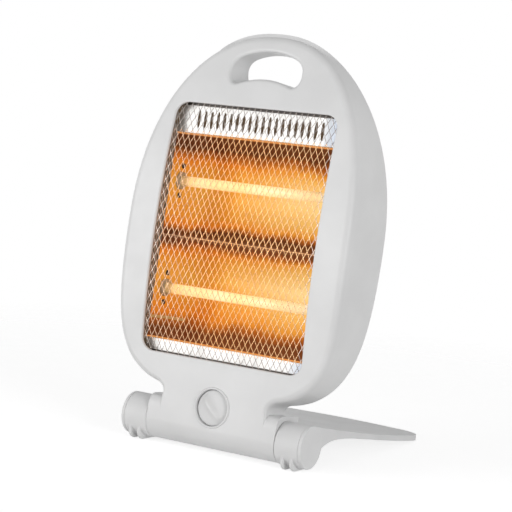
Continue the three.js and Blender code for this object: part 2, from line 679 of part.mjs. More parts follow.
// A net of diamonds inside a flat rim, bowed like the front of the shell behind which it lies.
function grille() {
  const seat = SHELL_WALL + CLEAR;
  const halfX = MESH_PITCH_X / 2;
  const halfZ = MESH_PITCH_Z / 2;
  // the wire's width is measured across the strand, so the diamond shrinks along both diagonals
  const shrink = 1 - GRILLE_WIRE / ((2 * halfX * halfZ) / Math.hypot(halfX, halfZ));
  const middle = (WINDOW_LOW + WINDOW_HIGH) / 2;
  const columns = Math.ceil(WINDOW_HALF_WIDTH / halfX) + 1;
  const rows = Math.ceil((WINDOW_HIGH - WINDOW_LOW) / 2 / halfZ) + 1;
  const stations = Array.from({ length: 2 * rows + 3 }, (_, j) => middle + (j - rows - 1) * halfZ);
  const front = stations.map((z) => new THREE.Vector2(frontAt(z) + seat, z));
  const back = stations.map((z) => new THREE.Vector2(frontAt(z) + seat + GRILLE_THICKNESS, z));
  const bowed = sidePrism(new THREE.Shape([...front, ...back.reverse()]), -SHELL_HALF_WIDTH, SHELL_HALF_WIDTH);
  const plate = bowed.intersect(frontPrism(windowShape(GRILLE_RIM), -REACH, 0, 4));
  const shapes = [];
  for (let i = -columns; i <= columns; i++) {
    for (let j = -rows; j <= rows; j++) {
      if ((i + j) % 2 !== 0) continue;
      const [x, z] = [i * halfX, middle + j * halfZ];
      const shape = new THREE.Shape();
      shape.moveTo(x + halfX * shrink, z);
      shape.lineTo(x, z + halfZ * shrink);
      shape.lineTo(x - halfX * shrink, z);
      shape.lineTo(x, z - halfZ * shrink);
      shapes.push(shape);
    }
  }
  const diamonds = frontPrism(shapes, -REACH + 1, -1);
  const openings = diamonds.intersect(frontPrism(windowShape(-0.5), -REACH, 0, 4));
  return cut(plate, keepLarge(openings, 6 * REACH));
}

// Leaves out the crumbs that the rim's edge makes of a diamond.
function keepLarge(body, least) {
  const pieces = body.decompose().filter((piece) => piece.volume() > least);
  return pieces.reduce((whole, piece) => whole.add(piece));
}

// ---------------------------------------------------------------- reflector

const TROUGH_MIDDLE = (TROUGH_TOP + TROUGH_BOTTOM) / 2;

// y and z along the sheet, from its top edge down to its bottom edge.
function reflectorLine() {
  const line = [[REFLECTOR_FACE, FLANGE_HIGH]];
  const troughs = [
    [TROUGH_TOP, TROUGH_MIDDLE + 1.5, REFLECTOR_FACE, RIDGE_FRONT],
    [TROUGH_MIDDLE - 1.5, TROUGH_BOTTOM, RIDGE_FRONT, REFLECTOR_FACE],
  ];
  for (const [high, low, startY, endY] of troughs) {
    for (let step = 0; step <= TROUGH_STEPS; step++) {
      const turn = (Math.PI * step) / TROUGH_STEPS;
      const z = (high + low) / 2 + ((high - low) / 2) * Math.cos(turn);
      const edge = step * 2 < TROUGH_STEPS ? startY : endY;
      line.push([edge + (TROUGH_BACK - edge) * Math.sin(turn), z]);
    }
  }
  line.push([REFLECTOR_FACE, FLANGE_LOW]);
  return line;
}

function reflector() {
  const front = reflectorLine().map(([y, z]) => new THREE.Vector2(y, z));
  const back = front.map((point, i) => {
    const before = front[Math.max(0, i - 1)];
    const after = front[Math.min(front.length - 1, i + 1)];
    const along = after.clone().sub(before).normalize();
    return new THREE.Vector2(point.x - along.y * SHEET, point.y + along.x * SHEET);
  });
  const sheet = sidePrism(
    new THREE.Shape([...front, ...back.reverse()]),
    -REFLECTOR_HALF_WIDTH,
    REFLECTOR_HALF_WIDTH,
  );
  const slots = [];
  for (let i = 0; i < VENT_COUNT; i++) {
    const x = (i - (VENT_COUNT - 1) / 2) * VENT_PITCH;
    const z = (VENT_LOW + VENT_HIGH) / 2;
    const shape = slotShape(x, z, (VENT_HIGH - VENT_LOW) / 2, VENT_WIDTH / 2, true);
    slots.push(frontPrism(shape, REFLECTOR_FACE - 5, REFLECTOR_FACE + 5, 2));
  }
  const holes = REFLECTOR_POSTS.map(([x, z]) =>
    rod("y", SCREW_SHANK + CLEAR, REFLECTOR_FACE - 5, REFLECTOR_FACE + 5, [x, z], 8),
  );
  return cut(sheet, ...slots, ...holes);
}

const TUBES = [
  ["upper", UPPER_TUBE],
  ["lower", LOWER_TUBE],
];

// Plate that closes the troughs at one side and carries the ceramic holders.
function reflectorEnd(side) {
  const inner = REFLECTOR_HALF_WIDTH + CLEAR;
  const margin = 2;
  const quarter = (TROUGH_TOP - TROUGH_BOTTOM) / 4;
  const reach = [TROUGH_BACK - REFLECTOR_FACE + margin, quarter + margin];
  const outline = new THREE.Shape();
  outline.absellipse(REFLECTOR_FACE, TROUGH_BOTTOM + quarter, ...reach, -Math.PI / 2, 0, false);
  outline.absellipse(REFLECTOR_FACE, TROUGH_TOP - quarter, ...reach, 0, Math.PI / 2, false);
  const [x0, x1] = side > 0 ? [inner, inner + SHEET] : [-inner - SHEET, -inner];
  const plate = sidePrism(outline, x0, x1, 4);
  const span = [Math.min(x0, x1) - 2, Math.max(x0, x1) + 2];
  const tools = [];
  for (const [, z] of TUBES) {
    tools.push(rod("x", CERAMIC_RADIUS + CLEAR, ...span, [QUARTZ_DEPTH, z], 16));
    for (const offset of [-HOLDER_SCREW_OFFSET, HOLDER_SCREW_OFFSET]) {
      tools.push(rod("x", SCREW_SHANK + CLEAR, ...span, [QUARTZ_DEPTH, z + offset], 6));
    }
  }
  return cut(plate, ...tools);
}

// ---------------------------------------------------------------- heating tubes

function quartzTube(z) {
  const outer = rod("x", QUARTZ_RADIUS, -QUARTZ_HALF_LENGTH, QUARTZ_HALF_LENGTH, [QUARTZ_DEPTH, z], 16);
  return cut(outer, rod("x", QUARTZ_RADIUS - QUARTZ_WALL, -REACH * 2, REACH * 2, [QUARTZ_DEPTH, z], 16));
}

// Coiled wire with straight tails, as one unbroken tube of five sides.
function coilPoint(t) {
  const turn = 2 * Math.PI * COIL_CURLS * t;
  const x = -COIL_HALF_LENGTH + 2 * COIL_HALF_LENGTH * t;
  return new THREE.Vector3(x, COIL_RADIUS * Math.cos(turn), COIL_RADIUS * Math.sin(turn));
}

function coilRoute() {
  const route = [new THREE.Vector3(-COIL_HALF_LENGTH - COIL_TAIL, COIL_RADIUS, 0)];
  const steps = 8 * COIL_CURLS;
  for (let i = 0; i <= steps; i++) route.push(coilPoint(i / steps));
  route.push(new THREE.Vector3(COIL_HALF_LENGTH + COIL_TAIL, COIL_RADIUS, 0));
  return route;
}

function heatingCoil(z) {
  const route = coilRoute();
  const sides = 5;
  const rings = [];
  for (let i = 0; i < route.length; i++) {
    const along = route[Math.min(i + 1, route.length - 1)].clone().sub(route[Math.max(i - 1, 0)]).normalize();
    if (i === 0 || i === route.length - 1) along.set(1, 0, 0);
    const outward = new THREE.Vector3(0, route[i].y, route[i].z).normalize();
    const across = along.clone().cross(outward).normalize();
    outward.copy(across).cross(along);
    const ring = [];
    for (let s = 0; s < sides; s++) {
      const turn = (2 * Math.PI * s) / sides;
      const p = route[i].clone();
      p.addScaledVector(outward, COIL_WIRE * Math.cos(turn));
      p.addScaledVector(across, COIL_WIRE * Math.sin(turn));
      ring.push([p.x, p.y + QUARTZ_DEPTH, p.z + z]);
    }
    rings.push(ring);
  }
  return tubeOver(rings);
}

// Least gap between one curl and the next, measured on points of the wire's middle line.
function leastCoilGap() {
  const perCurl = 32;
  const count = perCurl * COIL_CURLS;
  let least = Infinity;
  for (let i = 0; i <= count; i++) {
    for (let j = i + perCurl / 2; j <= Math.min(count, i + 2 * perCurl); j++) {
      const gap = coilPoint(i / count).distanceTo(coilPoint(j / count)) - 2 * COIL_WIRE;
      least = Math.min(least, gap);
    }
  }
  return least;
}
console.log("least gap of the heating coil to itself:", leastCoilGap().toFixed(2), "mm");

// Round ceramic end that passes through the end plate, on a flat base with two screw holes.
function ceramicHolder(side, z) {
  const plateOuter = REFLECTOR_HALF_WIDTH + CLEAR + SHEET;
  const base = plateOuter + CLEAR;
  const along = (from, to) => (side > 0 ? [from, to] : [-to, -from]);
  const centre = [QUARTZ_DEPTH, z];
  const barrel = rod("x", CERAMIC_RADIUS, ...along(CERAMIC_INNER_END, CERAMIC_OUTER_END), centre, 16);
  const foot = block(
    ...along(base, base + HOLDER_PLATE),
    QUARTZ_DEPTH - HOLDER_HALF_DEPTH,
    QUARTZ_DEPTH + HOLDER_HALF_DEPTH,
    z - HOLDER_HALF_HEIGHT,
    z + HOLDER_HALF_HEIGHT,
  );
  const bore = rod("x", QUARTZ_RADIUS + CLEAR, ...along(0, REACH * 2), centre, 16);
  const holes = [-HOLDER_SCREW_OFFSET, HOLDER_SCREW_OFFSET].map((offset) =>
    rod("x", SCREW_SHANK + CLEAR, ...along(0, REACH * 2), [QUARTZ_DEPTH, z + offset], 6),
  );
  return cut(join(barrel, foot), bore, ...holes);
}

// ---------------------------------------------------------------- switchgear

const SHAFT_FRONT = -NECK_FRONT + SHAFT_SINK;
const SWITCH_FRONT = -NECK_FRONT + RECESS_DEPTH + SHELL_WALL + CLEAR;
const NECK_INSIDE = -NECK_FRONT + SHELL_WALL + CLEAR;

function selectorSwitch() {
  const half = SWITCH_SIZE / 2;
  const rear = SWITCH_FRONT + SWITCH_DEPTH;
  const body = block(-half, half, SWITCH_FRONT, rear, KNOB_HEIGHT - half, KNOB_HEIGHT + half);
  const tabLow = KNOB_HEIGHT + 4;
  const tabs = SWITCH_TABS.map((x) =>
    block(x - TAB_WIDTH / 2, x + TAB_WIDTH / 2, rear - 1, rear + TAB_LENGTH, tabLow, tabLow + TAB_THICKNESS),
  );
  const socketEnd = SWITCH_FRONT + SHAFT_GRIP + 1;
  const socket = rod("y", SHAFT_RADIUS + CLEAR, SWITCH_FRONT - 1, socketEnd, [0, KNOB_HEIGHT], 16);
  return cut(join(body, ...tabs), socket);
}

function switchShaft() {
  const round = rod("y", SHAFT_RADIUS, SHAFT_FRONT, SWITCH_FRONT + SHAFT_GRIP - CLEAR, [0, 0], 16);
  return cut(round, block(-REACH, REACH, SHAFT_FRONT - 1, SHAFT_FRONT + SHAFT_FLAT, SHAFT_RADIUS / 2, REACH));
}

// Knob with a tapered diagonal grip; its socket takes the flatted end of the shaft.
function knob() {
  const face = -NECK_FRONT - KNOB_RISE;
  const back = -NECK_FRONT + RECESS_DEPTH - CLEAR;
  const profile = [
    [0, back],
    [KNOB_RADIUS, back],
    [KNOB_RADIUS, face + KNOB_EDGE],
    [KNOB_RADIUS - KNOB_EDGE, face],
    [0, face],
  ].map(([r, y]) => new THREE.Vector2(r, y));
  const disc = solid(facingOut(mergeVertices(new THREE.LatheGeometry(profile, ROUND_SIDES), 1e-4)));
  const grip = new THREE.BoxGeometry(GRIP_LENGTH, GRIP_RISE + 1, GRIP_WIDTH, 6, 1, 1);
  const at = grip.attributes.position;
  for (let i = 0; i < at.count; i++) {
    const share = (2 * Math.abs(at.getX(i))) / GRIP_LENGTH;
    const outerFace = at.getY(i) < 0;
    const narrow = (1 - 0.28 * share * share) * (outerFace ? 0.62 : 1);
    at.setZ(i, at.getZ(i) * narrow);
    if (outerFace) at.setX(i, at.getX(i) * 0.86);
  }
  grip.translate(0, face - GRIP_RISE / 2 + 0.5, 0);
  grip.rotateY(-GRIP_ANGLE);
  const socket = cut(
    rod("y", SHAFT_RADIUS + CLEAR, SHAFT_FRONT - CLEAR, REACH, [0, 0], 16),
    block(-REACH, REACH, -REACH, REACH, SHAFT_RADIUS / 2 + CLEAR, REACH),
  );
  return cut(join(disc, solid(grip)), socket);
}

function terminalBlock() {
  const half = TERMINAL_WIDTH / 2;
  const rear = NECK_INSIDE + TERMINAL_DEPTH;
  const body = block(TERMINAL_X - half, TERMINAL_X + half, NECK_INSIDE, rear, TERMINAL_LOW, TERMINAL_HIGH);
  const wells = [-TERMINAL_PITCH / 2, TERMINAL_PITCH / 2].map((offset) => {
    const centre = [TERMINAL_X + offset, (NECK_INSIDE + rear) / 2];
    return rod("z", TERMINAL_WELL, TERMINAL_LOW + TERMINAL_WELL, TERMINAL_HIGH + 1, centre, 10);
  });
  return cut(body, ...wells);
}

function tiltSwitch() {
  const half = TILT_WIDTH / 2;
  const body = block(TILT_X - half, TILT_X + half, NECK_INSIDE, NECK_INSIDE + TILT_DEPTH, TILT_LOW, TILT_HIGH);
  const tabY = NECK_INSIDE + TILT_DEPTH / 2;
  const tabs = [-TILT_TAB_PITCH / 2, TILT_TAB_PITCH / 2].map((offset) => {
    const [x0, x1] = [TILT_X + offset - 0.4 * TAB_WIDTH, TILT_X + offset + 0.4 * TAB_WIDTH];
    return block(x0, x1, tabY, tabY + TAB_THICKNESS, TILT_HIGH - 1, TILT_HIGH + TAB_LENGTH);
  });
  return join(body, ...tabs);
}

// Round cut-out on the right end plate, between the tubes.
function thermalCutout() {
  const base = REFLECTOR_HALF_WIDTH + 2 * CLEAR + SHEET;
  const height = TROUGH_MIDDLE + CUTOUT_RISE;
  const [nearY, farY] = [QUARTZ_DEPTH - HOLDER_HALF_DEPTH, QUARTZ_DEPTH + HOLDER_HALF_DEPTH];
  const flange = block(base, base + 1, nearY, farY, height - CUTOUT_HALF_PLATE, height + CUTOUT_HALF_PLATE);
  const can = rod("x", CUTOUT_RADIUS, base, base + CUTOUT_HEIGHT, [QUARTZ_DEPTH, height], 18);
  const tabs = [-CUTOUT_TAB_PITCH / 2, CUTOUT_TAB_PITCH / 2].map((offset) => {
    const [y0, y1] = [QUARTZ_DEPTH + offset - TAB_THICKNESS / 2, QUARTZ_DEPTH + offset + TAB_THICKNESS / 2];
    const end = base + CUTOUT_HEIGHT;
    return block(end - 1, end + TAB_LENGTH - 1, y0, y1, height - TAB_WIDTH / 2, height + TAB_WIDTH / 2);
  });
  return join(flange, can, ...tabs);
}

// Cord inlet: a flanged bush through the back of the neck. The cord itself isn't part of this.
function cordInlet() {
  const centre = [GLAND_X, GLAND_Z];
  const seat = NECK_BACK + CLEAR;
  const bush = rod("y", GLAND_RADIUS, NECK_BACK - SHELL_WALL - POST_GAP, seat + 1, centre, 16);
  const flange = rod("y", GLAND_RADIUS + GLAND_FLANGE, seat, seat + GLAND_FLANGE, centre, 16);
  return cut(join(bush, flange), rod("y", GLAND_BORE, 0, REACH, centre, 12));
}

// ---------------------------------------------------------------- foot

// Height of the foot's top edge above the floor, at a distance behind the axis.
function footTop(y) {
  const share = Math.max(0, (FOOT_REACH - y) / (FOOT_REACH - FOOT_RISE_AT));
  return FOOT_TIP + (FOOT_RISE - FOOT_TIP) * share ** FOOT_SWEEP;
}

const flangeDepth = (y) => FLANGE_DEPTH + FLANGE_FLARE * Math.exp(-(y - RING_RADIUS) / FLANGE_FADE);

// Side profile between the top edge and a line below it, in heights above the floor.
function footProfile(y0, y1, steps, depthAt) {
  const stations = Array.from({ length: steps + 1 }, (_, i) => y0 + ((y1 - y0) * i) / steps);
  const top = stations.map((y) => new THREE.Vector2(y, footTop(y)));
  const bottom = stations.map((y) => new THREE.Vector2(y, Math.max(0, footTop(y) - depthAt(y))));
  return new THREE.Shape([...bottom, ...top.reverse()]);
}

function footStand() {
  const lower = (body) => body.translate([0, 0, -AXIS_HEIGHT]);
  const half = FOOT_HALF_WIDTH;
  const padStart = FOOT_REACH - FOOT_PAD;
  const skin = sidePrism(footProfile(FOOT_NOTCH, FOOT_REACH, 10, () => FOOT_SKIN), -half, half);
  const flanges = [-1, 1].map((side) => {
    const [x0, x1] = side > 0 ? [half - FOOT_SKIN, half] : [-half, -half + FOOT_SKIN];
    return sidePrism(footProfile(8, FOOT_REACH, 11, flangeDepth), x0, x1);
  });
  const arms = [-1, 1].map((side) => {
    const inner = TUBE_HALF_LENGTH + CLEAR;
    const [x0, x1] = side > 0 ? [inner, half] : [-half, -inner];
    return sidePrism(footProfile(8, FOOT_NOTCH + 1, 4, () => FOOT_SKIN), x0, x1);
  });
  const pad = sidePrism(footProfile(padStart, FOOT_REACH, 3, () => AXIS_HEIGHT), -half, half);
  const ribs = FOOT_RIBS.map((x) =>
    sidePrism(
      footProfile(FOOT_NOTCH, padStart + 1, 4, (y) => Math.min(FLANGE_DEPTH + 1.5, footTop(y))),
      x - FOOT_RIB_THICKNESS / 2,
      x + FOOT_RIB_THICKNESS / 2,
    ),
  );

  // plan outline: straight sides, rounded rear corners and a slightly bowed rear edge
  const plan = new THREE.Shape();
  plan.moveTo(-half, -REACH);
  plan.lineTo(half, -REACH);
  plan.lineTo(half, FOOT_REACH - FOOT_BOW - FOOT_CORNER);
  plan.quadraticCurveTo(half, FOOT_REACH - FOOT_BOW, half - FOOT_CORNER, FOOT_REACH - 0.5 * FOOT_BOW);
  plan.quadraticCurveTo(0, FOOT_REACH + 0.5 * FOOT_BOW, FOOT_CORNER - half, FOOT_REACH - 0.5 * FOOT_BOW);
  plan.quadraticCurveTo(-half, FOOT_REACH - FOOT_BOW, -half, FOOT_REACH - FOOT_BOW - FOOT_CORNER);
  const settings = { depth: 2 * REACH, bevelEnabled: false, curveSegments: 5 };
  const planGeometry = new THREE.ExtrudeGeometry(plan, settings);
  planGeometry.translate(0, 0, -REACH);
  const tray = lower(join(skin, ...flanges, ...arms, pad, ...ribs).intersect(solid(planGeometry)));

  // rings that carry the hinge tube's ends, with two fins under each
  const rings = [-1, 1].map((side) => {
    const inner = TUBE_HALF_LENGTH + CLEAR;
    const [x0, x1] = side > 0 ? [inner, RING_END] : [-RING_END, -inner];
    return rod("x", RING_RADIUS, x0, x1, [0, 0], ROUND_SIDES);
  });
  const fins = [-1, 1].flatMap((side) =>
    FIN_OFFSETS.map((offset) =>
      block(
        side * offset - FIN_THICKNESS / 2,
        side * offset + FIN_THICKNESS / 2,
        -RING_RADIUS,
        FIN_BACK,
        -AXIS_HEIGHT,
        0,
      ),
    ),
  );
  const bores = rod("x", RING_BORE, -REACH * 2, REACH * 2, [0, 0], ROUND_SIDES);
  return cut(join(tray, ...rings, ...fins), bores);
}

// Disc that closes the outer end of a ring, with a plug that fits its bore.
function endCap(side) {
  const start = RING_END + CLEAR;
  const profile = [
    [0, start - CAP_PLUG],
    [RING_BORE - CLEAR, start - CAP_PLUG],
    [RING_BORE - CLEAR, start],
    [RING_RADIUS, start],
    [RING_RADIUS, start + CAP_THICKNESS - CAP_ROUND],
    [RING_RADIUS - CAP_ROUND, start + CAP_THICKNESS],
    [0, start + CAP_THICKNESS],
  ].map(([r, h]) => new THREE.Vector2(r, h));
  const geometry = new THREE.LatheGeometry(profile, ROUND_SIDES);
  geometry.rotateZ((-side * Math.PI) / 2);
  return geometryOf(solid(facingOut(mergeVertices(geometry, 1e-4))));
}

const HUB_FACE = TUBE_HALF_LENGTH - TUBE_END_WALL - PIVOT_STEP;

// Bush fixed to the shell's end wall, on which the foot's ring turns.
function pivotBush(side) {
  const along = (from, to) => (side > 0 ? [from, to] : [-to, -from]);
  const wall = TUBE_HALF_LENGTH + CLEAR;
  const drum = rod("x", BUSH_RADIUS, ...along(wall, BUSH_END), [0, 0], 20);
  const hub = rod("x", HUB_RADIUS, ...along(HUB_FACE, wall + 1), [0, 0], 16);
  const bore = rod("x", PIVOT_SHANK + CLEAR, ...along(0, REACH * 2), [0, 0], 12);
  const well = rod("x", PIVOT_HEAD + CLEAR, ...along(BUSH_END - PIVOT_WELL, BUSH_END + 5), [0, 0], 16);
  return cut(join(drum, hub), bore, well);
}

// Nut plate behind the end wall that the pivot screw pulls against.
function pivotNut(side) {
  const along = (from, to) => (side > 0 ? [from, to] : [-to, -from]);
  const face = HUB_FACE - CLEAR;
  const plate = rod("x", NUT_RADIUS, ...along(face - NUT_THICKNESS, face), [0, 0], 6);
  return cut(plate, rod("x", PIVOT_SHANK + CLEAR, ...along(0, REACH * 2), [0, 0], 12));
}

// Pan-headed screw along +Y: its head bears at y = 0 and its shank runs to -length.
function screw(shank, head, length) {
  const profile = [
    [0, -length],
    [shank, -length],
    [shank, 0],
    [head, 0],
    [head * 0.8, SCREW_HEAD_HEIGHT],
    [0, SCREW_HEAD_HEIGHT],
  ].map(([r, y]) => new THREE.Vector2(r, y));
  return geometryOf(solid(facingOut(mergeVertices(new THREE.LatheGeometry(profile, 6), 1e-4))));
}

// ---------------------------------------------------------------- materials

const paint = (color, roughness, metalness = 0) => new THREE.MeshStandardMaterial({ color, roughness, metalness });
const whitePlastic = () => paint(0xe6e6e4, 0.42);
const footPlastic = () => paint(0xe3e3e1, 0.45);
const chromeWire = () => paint(0xcfcfcf, 0.2, 1);
const polishedAluminium = () => paint(0xe2e2e4, 0.12, 1);
const quartzGlass = () => {
  const glass = paint(0xfff0c8, 0.25);
  glass.transparent = true;
  glass.opacity = 0.6;
  return glass;
};
const glowingWire = () => paint(0xff9a3c, 0.5);
const ceramic = () => paint(0xefeadd, 0.6);
const steel = () => paint(0xb8b8ba, 0.35, 1);
const blackPlastic = () => paint(0x202022, 0.5);

// ---------------------------------------------------------------- assembly

const heater = new THREE.Group(); // everything that leans with the shell
heater.rotation.x = -LEAN;
const foot = new THREE.Group();

function place(parent, name, shape, material, position = [0, 0, 0], rotation = [0, 0, 0]) {
  const geometry = shape.isBufferGeometry ? shape : geometryOf(shape);
  const mesh = new THREE.Mesh(geometry, material);
  mesh.name = name;
  mesh.position.set(...position);
  mesh.rotation.set(...rotation);
  parent.add(mesh);
}

place(heater, "front_housing", frontHousing(), whitePlastic());
place(heater, "rear_cover", rearCover(), whitePlastic());
place(heater, "grille", grille(), chromeWire());
place(heater, "reflector", reflector(), polishedAluminium());
place(heater, "reflector_end_left", reflectorEnd(-1), polishedAluminium());
place(heater, "reflector_end_right", reflectorEnd(1), polishedAluminium());

for (const [level, z] of TUBES) {
  place(heater, `${level}_quartz_tube`, quartzTube(z), quartzGlass());
  place(heater, `${level}_heating_coil`, heatingCoil(z), glowingWire());
  for (const [hand, side] of [["left", -1], ["right", 1]]) {
    place(heater, `${level}_${hand}_ceramic`, ceramicHolder(side, z), ceramic());
    for (const [spot, offset] of [["low", -HOLDER_SCREW_OFFSET], ["high", HOLDER_SCREW_OFFSET]]) {
      // screwed from inside the trough: the head bears on the end plate's inner face
      const position = [side * REFLECTOR_HALF_WIDTH, QUARTZ_DEPTH, z + offset];
      const shape = screw(SCREW_SHANK, HOLDER_SCREW_HEAD, HOLDER_SCREW_LENGTH);
      const name = `${level}_${hand}_ceramic_screw_${spot}`;
      place(heater, name, shape, steel(), position, [0, 0, (side * Math.PI) / 2]);
    }
  }
}

place(heater, "selector_switch", selectorSwitch(), blackPlastic());
place(heater, "switch_shaft", switchShaft(), steel(), [0, 0, KNOB_HEIGHT]);
place(heater, "control_knob", knob(), whitePlastic(), [0, 0, KNOB_HEIGHT]);
place(heater, "terminal_block", terminalBlock(), ceramic());
place(heater, "tilt_switch", tiltSwitch(), blackPlastic());
place(heater, "thermal_cutout", thermalCutout(), steel());
place(heater, "cord_inlet", cordInlet(), whitePlastic());

COVER_POSTS.forEach(([x, z], i) => {
  const position = [x, coverFaceAt(z) - SEAT_SINK + CLEAR, z];
  const shape = screw(SCREW_SHANK, SCREW_HEAD, COVER_SCREW_LENGTH);
  place(heater, `cover_screw_${i + 1}`, shape, steel(), position);
});
REFLECTOR_POSTS.forEach(([x, z], i) => {
  const headAt = REFLECTOR_FACE + SHEET + CLEAR;
  const length = headAt - frontAt(z) - SHELL_WALL - TIP_GAP;
  place(heater, `reflector_screw_${i + 1}`, screw(SCREW_SHANK, SCREW_HEAD, length), steel(), [x, headAt, z]);
});

place(foot, "foot_stand", footStand(), footPlastic());
for (const [hand, side] of [["left", -1], ["right", 1]]) {
  place(foot, `${hand}_end_cap`, endCap(side), footPlastic());
  place(heater, `${hand}_pivot_bush`, pivotBush(side), whitePlastic());
  place(heater, `${hand}_pivot_nut`, pivotNut(side), steel());
  const head = BUSH_END - PIVOT_WELL + CLEAR;
  const length = head - HUB_FACE + 2 * NUT_THICKNESS;
  const pivotScrew = screw(PIVOT_SHANK, PIVOT_HEAD, length);
  place(heater, `${hand}_pivot_screw`, pivotScrew, steel(), [side * head, 0, 0], [0, 0, (-side * Math.PI) / 2]);
}

const assembly = new THREE.Group();
assembly.add(heater, foot);
assembly.updateMatrixWorld(true);
const extent = new THREE.Box3().setFromObject(assembly, true);
assembly.position.set(0, -(extent.min.y + extent.max.y) / 2, AXIS_HEIGHT);

export default assembly;
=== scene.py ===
# %% [markdown]
# # A halogen heater, dressed in Blender
# The heater has three moving parts: a wide foot, an egg-shaped shell that leans in the foot's
# rings, and a selector knob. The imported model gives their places. Each cell below makes one
# piece or one finish, and prints what it made. Lengths in the drawings are in millimetres,
# upright, with the hinge axis as the origin; one function leans them into place.

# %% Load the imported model
import json
import math

import bmesh
import bpy
import numpy as np
from mathutils import Matrix, Vector


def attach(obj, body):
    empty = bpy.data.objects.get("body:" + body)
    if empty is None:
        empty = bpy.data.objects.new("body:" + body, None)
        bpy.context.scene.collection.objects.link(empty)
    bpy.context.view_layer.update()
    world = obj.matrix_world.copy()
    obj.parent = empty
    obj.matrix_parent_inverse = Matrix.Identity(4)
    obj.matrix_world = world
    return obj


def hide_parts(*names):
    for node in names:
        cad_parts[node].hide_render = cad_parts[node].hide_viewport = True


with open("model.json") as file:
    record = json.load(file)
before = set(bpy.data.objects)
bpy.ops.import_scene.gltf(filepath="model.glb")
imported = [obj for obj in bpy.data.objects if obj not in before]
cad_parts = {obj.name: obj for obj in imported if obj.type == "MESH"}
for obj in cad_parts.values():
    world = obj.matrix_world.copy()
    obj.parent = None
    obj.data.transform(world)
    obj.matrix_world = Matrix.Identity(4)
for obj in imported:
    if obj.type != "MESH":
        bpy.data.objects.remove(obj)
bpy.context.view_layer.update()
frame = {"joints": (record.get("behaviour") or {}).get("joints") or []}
joints = {joint["name"]: joint for joint in frame["joints"]}
HINGE = Vector(joints["stand_tilt"]["pos_m"])
turn_axis = joints["knob_turn"]["axis"]
LEAN = math.atan2(turn_axis[2], -turn_axis[1])
print("hinge axis at", [round(v, 4) for v in HINGE],
      "lean", round(math.degrees(LEAN), 2), "degrees")

# %% [markdown]
# ## The camera
# The photo was taken from the heater's right, a little above it, with the camera slightly
# tilted. A camera could be aimed by eye, but the hinge tube, the window's corners and the foot's
# tip fix it much better, so its place, lens and roll are the ones that put those points right.

# %% Camera at the photo's angle
SENSOR, PICTURE, FOCAL = 36.0, 512, 1763.3  # millimetres, pixels, pixels
EYE = Vector((0.8589, HINGE.y - 1.4183, 0.3320))
AIM = Vector((0.02194, HINGE.y, 0.19153))
ROLL = math.radians(5.42)


def new_object(name, data):
    item = bpy.data.objects.new(name, data)
    bpy.context.scene.collection.objects.link(item)
    return item


camera_data = bpy.data.cameras.new("photo_camera")
camera_data.sensor_width = SENSOR
camera_data.lens = FOCAL / PICTURE * SENSOR
camera = new_object("photo_camera", camera_data)
bpy.context.scene.camera = camera
back = (EYE - AIM).normalized()
right = Vector((0, 0, 1)).cross(back).normalized()
above = back.cross(right)
right_rolled = right * math.cos(ROLL) + above * math.sin(ROLL)
above_rolled = above * math.cos(ROLL) - right * math.sin(ROLL)
turned = Matrix((right_rolled, above_rolled, back)).transposed()
camera.matrix_world = Matrix.Translation(EYE) @ turned.to_4x4()
print("camera", round((EYE - AIM).length, 3), "m from the heater")

# %% [markdown]
# ## Where things are
# The shell, the knob and all that they carry are drawn upright and leaned back about the hinge
# when their points are placed. The foot is drawn on the floor. The way back, from a placed
# point to the drawing, is needed to tell the inside of a shell from its outside.

# %% Places and plain meshes
def leaned(points):
    """Points in the heater's own millimetres, leaned back on the hinge, in metres."""
    x, y, z = (np.asarray(points, float) / 1000.0).T
    c, s = math.cos(LEAN), math.sin(LEAN)
    return np.stack([x, y * c + z * s + HINGE.y, z * c - y * s + HINGE.z], 1)


def drawn_at(point):
    """The way back: a point in metres on the leaned heater, as upright millimetres."""
    c, s = math.cos(LEAN), math.sin(LEAN)
    x, y, z = Vector(point) - HINGE
    return x * 1000, (y * c - z * s) * 1000, (y * s + z * c) * 1000


def on_floor(points):
    """Points of the foot, in millimetres behind the hinge and above the floor, in metres."""
    return np.asarray(points, float) / 1000.0 + np.array([0.0, HINGE.y, 0.0])


def new_piece(name, points, faces):
    """A closed mesh with its faces turned outward."""
    mesh = bpy.data.meshes.new(name)
    mesh.from_pydata([tuple(p) for p in points], [], faces)
    mesh.validate()
    edit = bmesh.new()
    edit.from_mesh(mesh)
    bmesh.ops.remove_doubles(edit, verts=edit.verts, dist=1e-7)
    bmesh.ops.recalc_face_normals(edit, faces=edit.faces)
    edit.to_mesh(mesh)
    edit.free()
    return new_object(name, mesh)


# %% [markdown]
# ## Skins over loops of points
# Most pieces start as loops of points that are skinned with faces. They differ only in how the
# skin ends: by level strips between the two sides of a loop, by one face, or not at all, when
# the last loop joins the first. A turned piece and a block are special cases of these.

# %% Skins, turned pieces and blocks
def skin(name, rings, place=leaned, ends="level"):
    """A closed skin over equal rings; its ends are level strips, one face each, or joined."""
    size = len(rings[0])
    last = (len(rings) - 1) * size
    faces = []
    for start in range(0, last, size):
        for i in range(size):
            j = (i + 1) % size
            faces.append((start + i, start + j, start + size + j, start + size + i))
    if ends == "level":
        faces += [(start + k, start + k + 1, start + size - 2 - k, start + size - 1 - k)
                  for start in (0, last) for k in range(size // 2 - 1)]
    elif ends == "face":
        faces += [tuple(range(size)), tuple(range(last, last + size))]
    else:
        faces += [(last + k, last + (k + 1) % size, (k + 1) % size, k) for k in range(size)]
    return new_piece(name, place(np.concatenate(rings)), faces)


